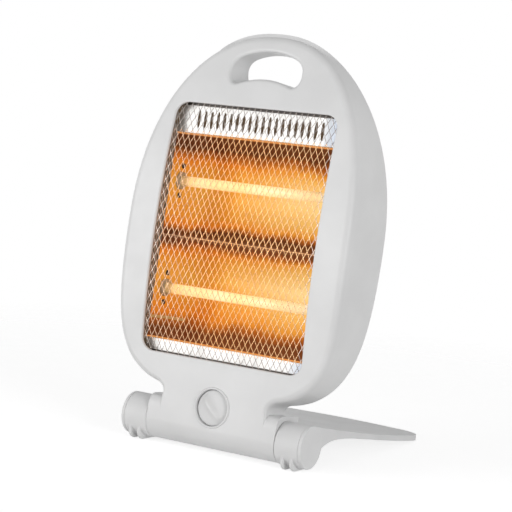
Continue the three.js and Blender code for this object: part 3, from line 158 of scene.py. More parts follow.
def lathe(name, profile, axis="x", centre=(0, 0), sides=96, place=leaned, ends="face"):
    """Turns (radius, station) pairs about an axis that runs across or from front to back."""
    rings = []
    for radius, station in profile:
        ring_points = []
        for k in range(sides):
            turn = 2 * math.pi * k / sides
            a, b = centre[0] + radius * math.cos(turn), centre[1] + radius * math.sin(turn)
            ring_points.append((station, a, b) if axis == "x" else (a, station, b))
        rings.append(ring_points)
    return skin(name, rings, place, ends)


def arc(centre, radii, angles):
    """Points of an ellipse at the given angles."""
    return [(centre[0] + radii[0] * math.cos(a), centre[1] + radii[1] * math.sin(a))
            for a in angles]


def pushed(loop, x0, x1):
    """Two rings of a side view, given as (y, z) pairs, for a form that is pushed across."""
    return [np.array([(x, y, z) for y, z in loop]) for x in (x0, x1)]


def span(side, near, far):
    """Two distances from the middle on one side, in rising order."""
    return sorted((side * near, side * far))


# %% [markdown]
# ## Cutting, joining and smoothing
# Blender's Manifold solver cuts and joins closed meshes quickly. The result is shaded smooth
# where faces nearly agree and sharp elsewhere, with normals weighted by face area, so that
# broad moulded faces stay flat right up to their rounded edges.

# %% Modifiers that are applied at once
def apply_modifiers(piece):
    bpy.context.view_layer.update()
    evaluated = piece.evaluated_get(bpy.context.evaluated_depsgraph_get())
    mesh = bpy.data.meshes.new_from_object(evaluated)
    piece.modifiers.clear()
    piece.data = mesh
    return piece


def modify(piece, kind, **settings):
    modifier = piece.modifiers.new(kind.lower(), kind)
    for key, value in settings.items():
        setattr(modifier, key, value)
    return apply_modifiers(piece)


def combine(piece, tool, operation):
    modify(piece, "BOOLEAN", operation=operation, solver="MANIFOLD", object=tool)
    bpy.data.objects.remove(tool)
    return piece


def join(piece, tool):
    return combine(piece, tool, "UNION")


def cut(piece, tool):
    return combine(piece, tool, "DIFFERENCE")


def keep_common(piece, tool):
    return combine(piece, tool, "INTERSECT")


def drill(piece, radius, start, end, axis="x", centre=(0, 0), sides=96, place=leaned):
    """Bores a round hole between two stations of an axis."""
    return cut(piece, lathe("drill", [(radius, start), (radius, end)], axis, centre, sides, place))


def round_edges(piece, radius, segments):
    """Rounds every edge where the faces turn by more than 50 degrees."""
    return modify(piece, "BEVEL", width=radius / 1000, segments=segments, limit_method="ANGLE",
                  angle_limit=math.radians(50))


def smooth(piece, angle=32):
    piece.data.shade_smooth()
    piece.data.set_sharp_from_angle(angle=math.radians(angle))
    return modify(piece, "WEIGHTED_NORMAL", keep_sharp=True, weight=80)


def slab(name, low, high, place=leaned, edge=0.0, segments=3):
    """A block between two corners, its edges rounded when edge is given."""
    points = [(x, y, z) for x in (low[0], high[0]) for y in (low[1], high[1])
              for z in (low[2], high[2])]
    faces = [(0, 1, 3, 2), (4, 6, 7, 5), (0, 4, 5, 1), (2, 3, 7, 6), (0, 2, 6, 4), (1, 5, 7, 3)]
    piece = new_piece(name, place(points), faces)
    return round_edges(piece, edge, segments) if edge else piece


# %% [markdown]
# ## A small kit for node trees
# Finishes and repeated forms are both built from nodes. In this kit a node's output can be
# added, multiplied or compared like a number, and each such step becomes one Math node. A
# formula stays readable that way, where it would take five lines for each sum.

# %% Values and nodes
class Value:
    """What a node gives out; sums written with it become Math nodes."""

    def __init__(self, kit, socket):
        self.kit, self.socket = kit, socket

    def __add__(self, other): return self.kit.math("ADD", self, other)
    def __sub__(self, other): return self.kit.math("SUBTRACT", self, other)
    def __rsub__(self, other): return self.kit.math("SUBTRACT", other, self)
    def __mul__(self, other): return self.kit.math("MULTIPLY", self, other)
    def __truediv__(self, other): return self.kit.math("DIVIDE", self, other)
    def __pow__(self, other): return self.kit.math("POWER", self, other)
    def __abs__(self): return self.kit.math("ABSOLUTE", self)
    def __gt__(self, other): return self.kit.math("GREATER_THAN", self, other)
    def __lt__(self, other): return self.kit.math("LESS_THAN", self, other)


def rgba(colour):
    """A colour with its alpha; one number stands for a grey."""
    return (*colour, 1.0) if isinstance(colour, tuple) else (colour, colour, colour, 1.0)


class Nodes:
    """A node tree that is being built; an input is given a Value or a plain setting."""

    def __init__(self, graph):
        self.graph = graph

    def give(self, socket, value):
        if isinstance(value, Value):
            self.graph.links.new(value.socket, socket)
        else:
            socket.default_value = rgba(value) if socket.type == "RGBA" else value

    def add(self, kind, inputs=None, **settings):
        node = self.graph.nodes.new(kind)
        for key, value in settings.items():
            setattr(node, key, value)
        for key, value in (inputs or {}).items():
            self.give(node.inputs[key], value)
        return node

    def make(self, kind, inputs=None, output=0, **settings):
        """Adds a node and returns one of its outputs."""
        return Value(self, self.add(kind, inputs, **settings).outputs[output])

    def math(self, operation, a, b=0.0):
        return self.make("ShaderNodeMath", {0: a, 1: b}, operation=operation)

    def split(self, vector):
        node = self.add("ShaderNodeSeparateXYZ", {0: vector})
        return [Value(self, socket) for socket in node.outputs]

    def mix(self, factor, a, b, blend="MIX"):
        return self.make("ShaderNodeMix", {"Factor": factor, "A": a, "B": b}, "Result",
                         data_type="RGBA", blend_type=blend)

    def ramp(self, source, *stops):
        node = self.add("ShaderNodeValToRGB", {"Fac": source})
        elements = node.color_ramp.elements
        while len(elements) < len(stops):
            elements.new(0.5)
        for element, (place, colour) in zip(elements, stops):
            element.position = place
            element.color = rgba(colour)
        return Value(self, node.outputs["Color"])

    def sees_background(self):
        """1 for the rays by which the camera, metal and glass show the background, else 0."""
        rays = self.add("ShaderNodeLightPath").outputs
        camera_ray, glossy, through = (
            Value(self, rays[f"Is {kind} Ray"]) for kind in ("Camera", "Glossy", "Transmission"))
        return self.math("MAXIMUM", camera_ray, self.math("MAXIMUM", glossy, through))


# %% [markdown]
# ## Pale moulded plastic
# The shell, foot and knob are satin moulded plastic. Under a soft light such plastic shows a
# faint grain, slightly uneven gloss and a little sheen at grazing angles. The grain is a fine
# noise bump; two larger noises shift tone and roughness. A bare grey would look like plaster.

# %% A material and its grain
class Finish(Nodes):
    """A material: the nodes behind its surface, which start at the object's own coordinates."""

    def __init__(self, name):
        self.material = bpy.data.materials.new(name)
        self.material.use_nodes = True
        super().__init__(self.material.node_tree)
        self.surface = self.graph.nodes["Principled BSDF"]
        self.place = self.make("ShaderNodeTexCoord", output="Object")

    def look(self, inputs):
        for key, value in inputs.items():
            self.give(self.surface.inputs[key], value)

    def noise(self, scale, detail=3.0, stretch=None, source=None):
        source = self.place if source is None else source
        if stretch:
            source = self.make("ShaderNodeMapping", {"Vector": source, "Scale": stretch})
        return self.make("ShaderNodeTexNoise", {"Vector": source, "Scale": scale, "Detail": detail},
                         "Fac")

    def bump(self, height, strength, distance):
        self.look({"Normal": self.make("ShaderNodeBump", {
            "Height": height, "Strength": strength, "Distance": distance})})

    def mark(self, label):
        """The mark that a face was given."""
        return self.make("ShaderNodeAttribute", output="Fac", attribute_name=label)

    def upright(self):
        """A point's place in the upright drawing, in metres: whole, across and up."""
        own = self.make("ShaderNodeMapping", {"Vector": self.place, "Location": HINGE,
                                              "Rotation": (-LEAN, 0, 0)}, vector_type="TEXTURE")
        x, _, z = self.split(own)
        return own, x, z


def grained(name, colour, roughness, grain=2600.0, strength=0.10, metallic=0.0, spread=0.03,
            sheen=0.35):
    """A finish whose tone and gloss wander a little, with a fine grain."""
    finish = Finish(name)
    lighter = tuple(min(1.0, c * (1 + spread)) for c in rgba(colour)[:3])
    darker = tuple(c * (1 - spread) for c in rgba(colour)[:3])
    finish.tone = finish.ramp(finish.noise(22.0), (0.35, darker), (0.65, lighter))
    gloss = finish.ramp(finish.noise(90.0), (0.3, roughness - 0.04), (0.7, roughness + 0.04))
    finish.look({"Base Color": finish.tone, "Roughness": gloss, "Metallic": metallic,
                 "Specular IOR Level": sheen})
    finish.bump(finish.noise(grain, 2.0), strength, 0.0003)
    return finish


# %% [markdown]
# Through the hole and the slots one looks into the shell, where the burning tubes light the walls.
# Those faces carry a mark, and wherever it is set the shell's plastic gets a painted shade, darker
# and warmer, and a faint painted warm glow.

# %% Plastics, metals and ceramic
PAINTED_INSIDE_SHADE, PAINTED_INSIDE_GLOW = (0.17, 0.10, 0.06), (1.0, 0.70, 0.42)
shell_plastic = grained("shell plastic", 0.712, 0.36)
# faces marked inner get a painted shade, darker and warmer, and a faint painted warm glow
inside_shade_and_glow = shell_plastic.mark("inner")
shell_plastic.look({"Base Color": shell_plastic.mix(inside_shade_and_glow, shell_plastic.tone, PAINTED_INSIDE_SHADE),
                    "Emission Color": PAINTED_INSIDE_GLOW, "Emission Strength": inside_shade_and_glow * 0.07})
foot_plastic = grained("foot plastic", 0.74, 0.42, sheen=0.15)
knob_plastic = grained("knob plastic", 0.73, 0.30)
bush_plastic = grained("bush plastic", (0.62, 0.62, 0.60), 0.5)
dark_plastic = grained("dark plastic", (0.025, 0.025, 0.027), 0.45)
dark_steel = grained("blackened steel", (0.05, 0.04, 0.035), 0.4, 900.0, metallic=0.6, spread=0.1)
zinc = grained("zinc plated steel", (0.55, 0.55, 0.56), 0.32, 900.0, metallic=1.0, spread=0.08)
pale_ceramic = grained("pale ceramic", (0.46, 0.41, 0.29), 0.62, 1500.0, 0.25, spread=0.06)
print("plastic, metal and ceramic finishes made")

# %% [markdown]
# ## The shell's outline
# Seen from the front the shell is an egg: one superellipse above its widest line and a squarer
# one below, run into a straight neck by a small fillet. Points are traced finely, then spaced
# by length and by turning together, so tight curves get more of them.

# %% Outline and profile of the shell
HALF_WIDTH, TOP, WIDEST, BOTTOM = 126.0, 380.5, 188.0, 31.0
TOP_POWER, BOTTOM_POWER = 2 / 2.28, 2 / 4.2
NECK, NECK_FRONT, NECK_BACK = 58.5, -20.0, 21.0
FILLET = (NECK, 24.0), (NECK, 32.0), (69.0, 34.1)  # start, corner, end
FRONT_MIDDLE, FRONT_REACH, FRONT_BOW = 185.0, 122.0, 9.5
BACK_MIDDLE, BACK_DEEPEST, BACK_CURVE = 190.0, 43.0, 952.0
WALL, RIM, DRAFT, SEAM = 2.5, 11.0, 3.6, 0.3


def front_at(z):
    u = (np.asarray(z, float) - FRONT_MIDDLE) / FRONT_REACH
    swell = 1 - u * u
    # below the window the bow runs softly into the flat neck
    soft = (swell + np.sqrt(swell * swell + 0.02)) / 2
    return NECK_FRONT - FRONT_BOW * np.where(u < 0, soft, swell)


def back_at(z):
    z = np.asarray(z, float)
    bow = BACK_DEEPEST - (z - BACK_MIDDLE) ** 2 / BACK_CURVE
    return np.maximum(bow, np.where(z < 120, NECK_BACK, -1e3))


def half_width_at(z):
    reach, power = (TOP - WIDEST, TOP_POWER) if z > WIDEST else (WIDEST - BOTTOM, BOTTOM_POWER)
    return HALF_WIDTH * (1 - (abs(z - WIDEST) / reach) ** (2 / power)) ** (power / 2)


# %% Tracing the outline
def curve_point(start, pull, end, t):
    """A point of a curve from start to end that is drawn towards a third point."""
    a, b, c = (np.array(p, float) for p in (start, pull, end))
    return tuple((1 - t) ** 2 * a + 2 * t * (1 - t) * b + t * t * c)


def fine_outline():
    """The right half of the outline, from the neck's foot to the crown, closely traced."""
    path = [(NECK, z) for z in np.linspace(0, FILLET[0][1], 40)]
    path += [curve_point(*FILLET, t) for t in np.linspace(0.03, 0.97, 40)]
    for turn in np.linspace(-math.pi / 2, math.pi / 2, 1600):
        c, s = math.cos(turn), math.sin(turn)
        power, reach = (TOP_POWER, TOP - WIDEST) if s > 0 else (BOTTOM_POWER, WIDEST - BOTTOM)
        x = HALF_WIDTH * max(c, 0.0) ** power
        z = WIDEST + reach * math.copysign(abs(s) ** power, s)
        if (x > FILLET[2][0] or z > WIDEST) and x > 0.4:
            path.append((x, z))
    return np.array(path)


def trace_outline(count):
    """The outline in evenly busy points, with the outward direction at each."""
    path = fine_outline()
    step = np.diff(path, axis=0)
    length = np.hypot(step[:, 0], step[:, 1])
    heading = np.unwrap(np.arctan2(step[:, 1], step[:, 0]))
    weight = length / length.sum() + np.concatenate([[0], np.abs(np.diff(heading))]) / math.pi
    travelled = np.concatenate([[0], np.cumsum(weight)])
    goal = np.linspace(0, travelled[-1], count)
    x, z = np.interp(goal, travelled, path[:, 0]), np.interp(goal, travelled, path[:, 1])
    tx, tz = np.gradient(x), np.gradient(z)
    size = np.hypot(tx, tz)
    return np.stack([x, z], 1), np.stack([tz / size, -tx / size], 1)


outline, outward = trace_outline(150)
print("outline of", 2 * len(outline), "points,", round(float(outline[:, 0].max() * 2)), "mm wide")

# %% [markdown]
# The front edge is rounded tightly on the neck and fully on the egg, and the egg's sides lean in
# a little towards the front, as they must to leave a mould.

# %% Rings of the outline
def ring(inset, depth_at, lift=0.0):
    """The outline drawn in by a distance, at a depth that follows its height."""
    p = outline - outward * np.reshape(inset, (-1, 1))
    p[:, 0] = np.maximum(p[:, 0], 0.2)
    y = depth_at(p[:, 1]) + lift
    right_side = np.stack([p[:, 0], y, p[:, 1]], 1)
    return np.concatenate([right_side, right_side[::-1] * (-1, 1, 1)])


edge_round = lambda z: np.interp(z, [0, 22, 40], [0.8, 2.2, 7.0])
edge_inset = edge_round(outline[:, 1])
draft = np.interp(outline[:, 1], [22, 44], [0.0, DRAFT])
thickness = lambda z: back_at(z) - front_at(z)
front_round = lambda z: np.minimum(edge_round(z), 0.38 * thickness(z))
back_round = lambda z: np.minimum(10.0, 0.5 * thickness(z)) * np.interp(z, [10, 34], [0.2, 1])

QUARTER_TURN = np.linspace(0, math.pi / 2, 7)
shell_rings = [ring(draft + edge_inset * (1 - math.sin(a)),
                    lambda z: front_at(z) + front_round(z) * (1 - math.cos(a)))
               for a in QUARTER_TURN]
shell_rings += [ring(0.82 * RIM * (1 - math.cos(a)),
                     lambda z: back_at(z) - back_round(z) * (1 - math.sin(a)))
                for a in QUARTER_TURN]
hollow_rings = [ring(draft + edge_inset + 1.2, front_at, WALL),
                ring(draft + WALL, lambda z: front_at(z) + 1.2 + front_round(z)),
                ring(WALL, lambda z: back_at(z) - back_round(z)),
                ring(WALL + 0.25 * RIM, lambda z: back_at(z) - 0.55 * back_round(z)),
                ring(RIM, back_at, -WALL), ring(RIM, back_at, 60)]
print(len(shell_rings), "rings for the shell and", len(hollow_rings), "for its hollow")

# %% [markdown]
# ## The front housing
# The real housing is one moulding: a hollow egg with a window, a carrying hole with its own
# sleeve, a neck, and the front half of the hinge tube. It could be box-modelled, but its walls
# follow a few clear curves, so it is skinned over rings of the outline and then cut. The
# shoulder between neck and tube is a squarish quarter round that is pushed across.

# %% Skin and hollow of the front housing
TUBE, TUBE_END = 19.8, 71.3
SHOULDER_DEPTH, SHOULDER_HEIGHT, SHOULDER_POWER = 20.0, 24.0, 0.44


def half_tube(radius, end, y0, y1):
    """The part of the hinge tube that lies between two depths."""
    tube = lathe("hinge_tube", [(radius, -end), (radius, end)], sides=128)
    return keep_common(tube, slab("half", (-200, y0, -60), (200, y1, 60)))


front_housing = skin("front_housing_shell", shell_rings)
outer_form = new_object("outer_form", front_housing.data.copy())
join(front_housing, half_tube(TUBE, TUBE_END, -60, 0))
shoulder = [(0.0, 0.0)]
for turn in np.linspace(0, math.pi / 2, 28):
    shoulder.append((-SHOULDER_DEPTH * max(math.cos(turn), 0) ** SHOULDER_POWER,
                     SHOULDER_HEIGHT * math.sin(turn) ** SHOULDER_POWER))
join(front_housing, skin("shoulder", pushed(shoulder, -TUBE_END, TUBE_END), ends="face"))
for side in (-1, 1):
    x0, x1 = span(side, 50.0, TUBE_END)
    join(front_housing, slab("ledge", (x0, -4.0, 14.0), (x1, 20.8, 24.0)))
cut(front_housing, skin("hollow", hollow_rings))
print("housing skinned and hollowed:", len(front_housing.data.polygons), "faces")

# %% [markdown]
# The window is a rounded rectangle and the carrying hole a slot whose long edges arch upwards.
# Both cutters are stacks of their own outline, wider at the surface by the edge's radius, so
# that they leave properly rounded edges.

# %% Outlines of the window and the carrying hole
WINDOW = 89.0, 63.7, 306.0, 13.0  # half width, low, high, corner
HOLE_HALF_WIDTH, HOLE_HALF_HEIGHT, HOLE_MIDDLE = 38.5, 12.0, 340.7
FAR = 80.0  # a depth well outside the shell


def rounded_rectangle(half, low, high, corner, grow, steps=12):
    points = []
    for cx, cz, start in ((half - corner, low + corner, -90), (half - corner, high - corner, 0),
                          (corner - half, high - corner, 90), (corner - half, low + corner, 180)):
        points += arc((cx, cz), (corner + grow,) * 2,
                      np.radians(np.linspace(start, start + 90, steps)))
        if start in (-90, 90):
            side = math.copysign(half + grow, cx)
            climb = np.linspace(points[-1][1], low + high - points[-1][1], 40)[1:-1]
            points += [(side, z) for z in climb]
    return np.array(points)


def arched_slot(grow=0.0, steps=10):
    """The hole's outline: six curves, each from one knot to the next but one."""
    half_height, half_width = HOLE_HALF_HEIGHT + grow, HOLE_HALF_WIDTH + grow
    low, bend = HOLE_MIDDLE, half_height * 0.75
    top, bottom = low + half_height + 4.2, low - half_height
    knots = [(-half_width, low), (-half_width, top - 4.6), (bend - half_width + 4, top),
             (0, top + 9.0), (half_width - bend - 4, top), (half_width, top - 4.6),
             (half_width, low), (half_width, bottom), (half_width - bend, bottom),
             (0, bottom + 12), (bend - half_width, bottom), (-half_width, bottom),
             (-half_width, low)]
    return np.array([curve_point(*knots[k:k + 3], t) for k in range(0, 12, 2)
                     for t in np.arange(steps) / steps])


def stack(name, loops):
    """A closed cutter over loops given as (outline in x and z, y of each point)."""
    size = len(loops[0][0])
    rings = [np.stack([p[:, 0], np.broadcast_to(y, size), p[:, 1]], 1) for p, y in loops]
    return modify(skin(name, rings, ends="face"), "TRIANGULATE", min_vertices=5)


def flared(outline_at, surface_at, radius, direction, steps=5):
    """Loops of a rounded edge where a cutter passes a surface."""
    outer = outline_at(radius + 0.02)
    loops = [(outer, 0 * outer[:, 1] - direction * FAR)]
    for a in np.linspace(0, math.pi / 2, steps):
        loop = outline_at(radius * (1 - math.sin(a)))
        loops.append((loop, surface_at(loop[:, 1])
                      + direction * (radius * (1 - math.cos(a)) - 0.01)))
    return loops


def window_at(grow):
    return rounded_rectangle(*WINDOW, grow)


# %% [markdown]
# The sleeve is a slot-shaped plug, kept only where the shell's own form has room for it. The
# hole's cutter then passes through it and rounds its edges at the front and at the back.

# %% Window, carrying hole and its sleeve
COVER = 1.2  # how far the rear cover stands out
window_loops = flared(window_at, front_at, 1.4, 1)
cut(front_housing, stack("window_cutter", window_loops + [(window_at(0.0), -4.0)]))
sleeve = stack("sleeve", [(arched_slot(WALL), -60.0), (arched_slot(WALL), 60.0)])
join(front_housing, keep_common(sleeve, outer_form))
hole_front = flared(arched_slot, front_at, 3.6, 1)
hole_back = flared(arched_slot, lambda z: back_at(z) + COVER, 1.0, -1)
cut(front_housing, stack("hole_cutter", hole_front + hole_back[::-1]))
print("window and carrying hole cut:", len(front_housing.data.polygons), "faces")

# %% [markdown]
# Every finished piece is dressed the same way: one coat, the body that moves it and the packed
# nodes it stands for. Some faces carry a mark for the coat.

# %% Dressing a piece and marking its faces
def dress(piece, finish, body, slot, *nodes):
    """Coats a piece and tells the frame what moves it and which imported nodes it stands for."""
    piece.data.materials.clear()
    piece.data.materials.append(finish.material)
    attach(piece, body)
    if nodes:
        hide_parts(*nodes)
    print(piece.name, "made with", len(piece.data.polygons), "faces")
    return piece


def mark_faces(piece, label, test):
    """Gives each face 1 or 0 by a test of its middle and of the way it looks, as drawn."""
    mark = piece.data.attributes.new(label, "FLOAT", "FACE")
    for face, value in zip(piece.data.polygons, mark.data):
        value.value = float(test(drawn_at(face.center), drawn_at(face.normal + HINGE)))
    return piece


# %% [markdown]
# The knob's recess is bored, and its bezel, turned as one ring with a floor, is joined there.
# The rear half of the hinge tube belongs to the cover, so it is cut away with a hairline gap.
# Last, the faces that look into the shell get their mark.

# %% Bezel, seam and finish of the front housing
KNOB_Z, BEZEL, RECESS = 20.3, 19.4, 17.4
LIP, FLOOR, UNDER = -21.5, -16.0, -13.6  # depths of the bezel's lip and of the recess's floor
bezel = lathe("bezel", [(BEZEL + 0.5, -18.0), (BEZEL + 0.1, -20.4), (BEZEL - 0.3, -21.2),
                        (BEZEL - 0.9, LIP), (RECESS + 0.6, LIP), (RECESS + 0.1, -21.1),
                        (RECESS, -20.0), (RECESS, FLOOR), (3.5, FLOOR), (3.5, UNDER),
                        (RECESS + WALL, UNDER), (RECESS + WALL, -17.5)],
              "y", (0, KNOB_Z), ends="joined")
drill(front_housing, RECESS + SEAM, -40, -10, "y", (0, KNOB_Z))
join(front_housing, bezel)
cut(front_housing, half_tube(TUBE + SEAM, 75, 0, 60))
smooth(front_housing)


def inside_shell(spot, way):
    x, y, z = spot
    looks_in = way[0] * x + way[1] * (y - 10) + way[2] * (z - BACK_MIDDLE) < 0
    past_wall = y > front_at(z) + WALL - 0.3
    off_hole = z < 322 or abs(x) > 46
    return looks_in and past_wall and off_hole and z > 45


# faces that look into the shell are marked for the painted shade and glow of the plastic
mark_faces(front_housing, "inner", inside_shell)
dress(front_housing, shell_plastic, "heater", "shell_plastic", "front_housing")

# %% [markdown]
# ## The rear cover
# Nothing of the back shows in the photo, but such a heater has a screwed cover with rows of
# vent slots that follow its outline. The panel is skinned over the same outline, drawn in by
# the rim. One tree of Geometry Nodes copies a block down the panel; used twice, it gives the
# slots and, behind each, a slanted louvre that lets air out but keeps eyes and fingers off.

# %% Small kit for Geometry Nodes
class Tree(Nodes):
    """Geometry Nodes with named inputs; each is given its first value or only its kind."""

    def __init__(self, name, inputs):
        super().__init__(bpy.data.node_groups.new(name, "GeometryNodeTree"))
        new_socket = self.graph.interface.new_socket
        for way in ("INPUT", "OUTPUT"):
            new_socket("Geometry", in_out=way, socket_type="NodeSocketGeometry")
        self.identifiers = {}
        for label, value in inputs.items():
            kind = value if isinstance(value, str) else type(value).__name__.title()
            socket = new_socket(label, in_out="INPUT", socket_type=f"NodeSocket{kind}")
            if value != kind:
                socket.default_value = value
            self.identifiers[label] = socket.identifier
        self.source = self.graph.nodes.new("NodeGroupInput")
        self.result = self.graph.nodes.new("NodeGroupOutput")

    def __getitem__(self, label):
        return Value(self, self.source.outputs[label])

    def shape(self, kind, inputs=None, output=0, **settings):
        return self.make("GeometryNode" + kind, inputs, output, **settings)

    def point(self, x=0.0, y=0.0, z=0.0):
        return self.make("ShaderNodeCombineXYZ", {"X": x, "Y": y, "Z": z})

    def finish(self, geometry, finish):
        real = self.shape("RealizeInstances", {"Geometry": geometry})
        coated = self.shape("SetMaterial", {"Geometry": real, "Material": finish.material})
        self.give(self.result.inputs[0], coated)


def place_mesh(piece, place):
    """Moves a piece drawn in millimetres to its real place."""
    mesh = piece.data
    co = np.empty(len(mesh.vertices) * 3)
    mesh.vertices.foreach_get("co", co)
    mesh.vertices.foreach_set("co", place(co.reshape(-1, 3)).ravel())
    mesh.update()
    return piece


def grow(name, tree, start=None, place=leaned, **sizes):
    """Runs a tree on a small starting mesh and returns the result as a plain, placed mesh."""
    piece = new_object(name, start or bpy.data.meshes.new(name))
    modifier = piece.modifiers.new(tree.graph.name, "NODES")
    modifier.node_group = tree.graph
    for label, value in sizes.items():
        modifier[tree.identifiers[label]] = value
    return place_mesh(apply_modifiers(piece), place)


# %% [markdown]
# The rows follow two formulas that the shell has too: how wide the egg is at a height, and how
# far its back bows out there.

# %% Slots and louvres of the rear cover, one above another
def vent_rows(name, block, middle, turn=0.0, follow=0.0):
    """Copies a block to every row; each copy is as long as the cover is wide there."""
    rows = Tree(name, {"Rows": 15, "Pitch": 15.0, "First": 82.0, "Reach": 0.6, "Round end": 2.2})
    line = rows.shape("MeshLine", {"Count": rows["Rows"], "Offset": rows.point(z=rows["Pitch"]),
                                   "Start Location": rows.point(z=rows["First"])})
    _, _, height = rows.split(rows.shape("InputPosition"))
    widths = []
    for reach, power in ((TOP - WIDEST, 2 / TOP_POWER), (BOTTOM - WIDEST, 2 / BOTTOM_POWER)):
        share = rows.math("MAXIMUM", (height - WIDEST) / reach, 0.0)
        widths.append((1.0 - share ** power) ** (1 / power))
    straight = widths[0] * widths[1] * HALF_WIDTH * rows["Reach"] - rows["Round end"]
    off_middle = height - BACK_MIDDLE
    panel = BACK_DEEPEST - off_middle * off_middle / BACK_CURVE
    starts = rows.shape("SetPosition", {"Geometry": line, "Offset": rows.point(y=panel * follow)})
    bar = rows.shape("Transform", {"Geometry": rows.shape("MeshCube", {"Size": block}),
                                   "Translation": middle, "Rotation": (turn, 0, 0)})
    bars = rows.shape("InstanceOnPoints", {"Points": starts, "Instance": bar,
                                           "Scale": rows.point(straight, 1.0, 1.0)})
    rows.finish(bars, shell_plastic)
    return grow(name, rows)


slots = vent_rows("vent_slots", (2.0, 60.0, 4.4), (0, 40.0, 0))
louvres = vent_rows("vent_louvres", (2.0, 1.0, 7.6), (0, -3.7, -0.2), math.pi / 4, 1.0)
print("slots and louvres:", len(slots.data.polygons), "and", len(louvres.data.polygons), "faces")

# %% [markdown]
# The panel, the neck's back and the rear half of the tube are one moulding. The slots are cut
# before the louvres are joined, and each screw gets a flat seat, since the panel is bowed.

# %% Rear cover
TUBE_BORE, SEAT_SINK, SEAT_RADIUS = 17.3, 1.6, 4.2
INLET_X, INLET_Z, INLET_RADIUS = 38, 30, 5.8
inset = RIM + SEAM
edge_steps = (COVER, COVER), (0.35, 0.85), (0.0, 0.0), (0.0, -1.6), (0.5, -1.7)
rear_cover = skin("rear_cover_panel", [ring(inset + step, back_at, lift)
                                       for step, lift in edge_steps])
join(rear_cover, slab("neck_back", (-47, 18.5, 8), (47, 20.9, 44)))
join(rear_cover, drill(half_tube(TUBE, TUBE_END, SEAM, 60), TUBE_BORE, -68, 68))
cut(rear_cover, slots)
join(rear_cover, louvres)
around_sleeve = arched_slot(WALL + SEAM)
cut(rear_cover, stack("sleeve_gap", [(around_sleeve, -60.0), (around_sleeve, 60.0)]))
drill(rear_cover, INLET_RADIUS, 0, 60, "y", (INLET_X, INLET_Z), 48)

top_x = (HOLE_HALF_WIDTH + WALL + half_width_at(339) - RIM) / 2
screw_rows = ((top_x, 339), (half_width_at(WIDEST) - 18, WIDEST), (half_width_at(71) - 18, 71))
cover_screws = [(side * x, float(back_at(z)) + COVER - SEAT_SINK, z)
                for x, z in screw_rows for side in (-1, 1)]
for x, seat, z in cover_screws:
    drill(rear_cover, SEAT_RADIUS, seat, FAR, "y", (x, z), 40)
smooth(rear_cover)
# the cover's faces that look into the shell are marked for the same painted shade and glow
mark_faces(rear_cover, "inner", lambda spot, way: (
    way[1] < -200 and spot[1] < back_at(spot[2]) and 45 < spot[2] < 320))
dress(rear_cover, shell_plastic, "heater", "shell_plastic", "rear_cover")

# %% [markdown]
# ## The chrome net
# The guard is a sheet of wire diamonds, twice as tall as wide, bowed like the housing's front
# and held behind the window's edge. Placing two thousand wires by hand would be hopeless, so
# Geometry Nodes turn a plain grid by its diagonals, drop what lies too deep, bend the rest by
# one formula and give every edge a round section. The formula also folds the border back round
# the window: what would reach past the rim goes into the depth instead.

# %% Net of wire diamonds
net = Tree("wire_net", {"Diamond width": 6.4, "Diamond height": 12.6, "Half width": 90.2,
                        "Half height": 122.4, "Middle": 184.9, "Corner": 14.2,
                        "Fold end": -10.8, "Wire radius": 0.31, "Seat": 3.3})
CELLS = 64
grid = net.shape("MeshGrid", {"Size X": float(CELLS), "Size Y": float(CELLS),
                              "Vertices X": CELLS + 1, "Vertices Y": CELLS + 1})
x, y, _ = net.split(net.shape("InputPosition"))
diamonds = net.point((x + y) * (net["Diamond width"] / 2.0),
                     (x - y) * (net["Diamond height"] / 2.0))
flat_net = net.shape("SetPosition", {"Geometry": grid, "Position": diamonds})


def vector_math(operation, a, b=(0.0, 0.0, 0.0)):
    return net.make("ShaderNodeVectorMath", {0: a, 1: b},
                    "Value" if operation == "LENGTH" else "Vector", operation=operation)


def folded_place():
    """Where a point of the flat net goes when the border is folded back round the window."""
    here = net.shape("InputPosition")
    room = net.point(net["Half width"] - net["Corner"], net["Half height"] - net["Corner"])
    over = vector_math("MAXIMUM", vector_math("SUBTRACT", vector_math("ABSOLUTE", here), room))
    past = net.math("MAXIMUM", vector_math("LENGTH", over) - net["Corner"], 0.0)
    way = vector_math("MULTIPLY", vector_math("NORMALIZE", over), vector_math("SIGN", here))
    pull = vector_math("MULTIPLY", way, net.point(past, past))
    x, up, _ = net.split(vector_math("SUBTRACT", here, pull))
    height = up + net["Middle"]
    bow = (height - FRONT_MIDDLE) / FRONT_REACH
    front = bow * bow * FRONT_BOW + (NECK_FRONT - FRONT_BOW)
    return x, front + net["Seat"] + past, height


_, depth, _ = folded_place()
kept = net.shape("DeleteGeometry", {"Geometry": flat_net, "Selection": depth > net["Fold end"]},
                 domain="POINT")
wires = net.shape("MeshToCurve", {"Mesh": kept})
finer = net.shape("SubdivideCurve", {"Curve": wires, "Cuts": 2})
bent = net.shape("SetPosition", {"Geometry": finer, "Position": net.point(*folded_place())})
section = net.shape("CurvePrimitiveCircle", {"Resolution": 6, "Radius": net["Wire radius"]},
                    mode="RADIUS")
tubes = net.shape("CurveToMesh", {"Curve": bent, "Profile Curve": section})
print("net of", CELLS, "by", CELLS, "diamonds planned, before its outside is dropped")

# %% [markdown]
# Bright wire shows what stands round it: orange over the burning troughs, grey-brown at the
# window's sides, dull over the flat lips. The wires are too thin to mirror this without
# sparkling, so these reflections are painted into their tone by the place on the heater.

# %% Chrome of the wires, and the rim that holds them
GLOW_MIDDLE = 0.1765  # height of the ridge between the troughs, in metres
chrome = Finish("bright chrome wire")
_, own_x, own_z = chrome.upright()


def share_across(x):
    """0 at 100 mm left of the middle and 1 at 100 mm right of it."""
    return (x + 0.1) * 5.0
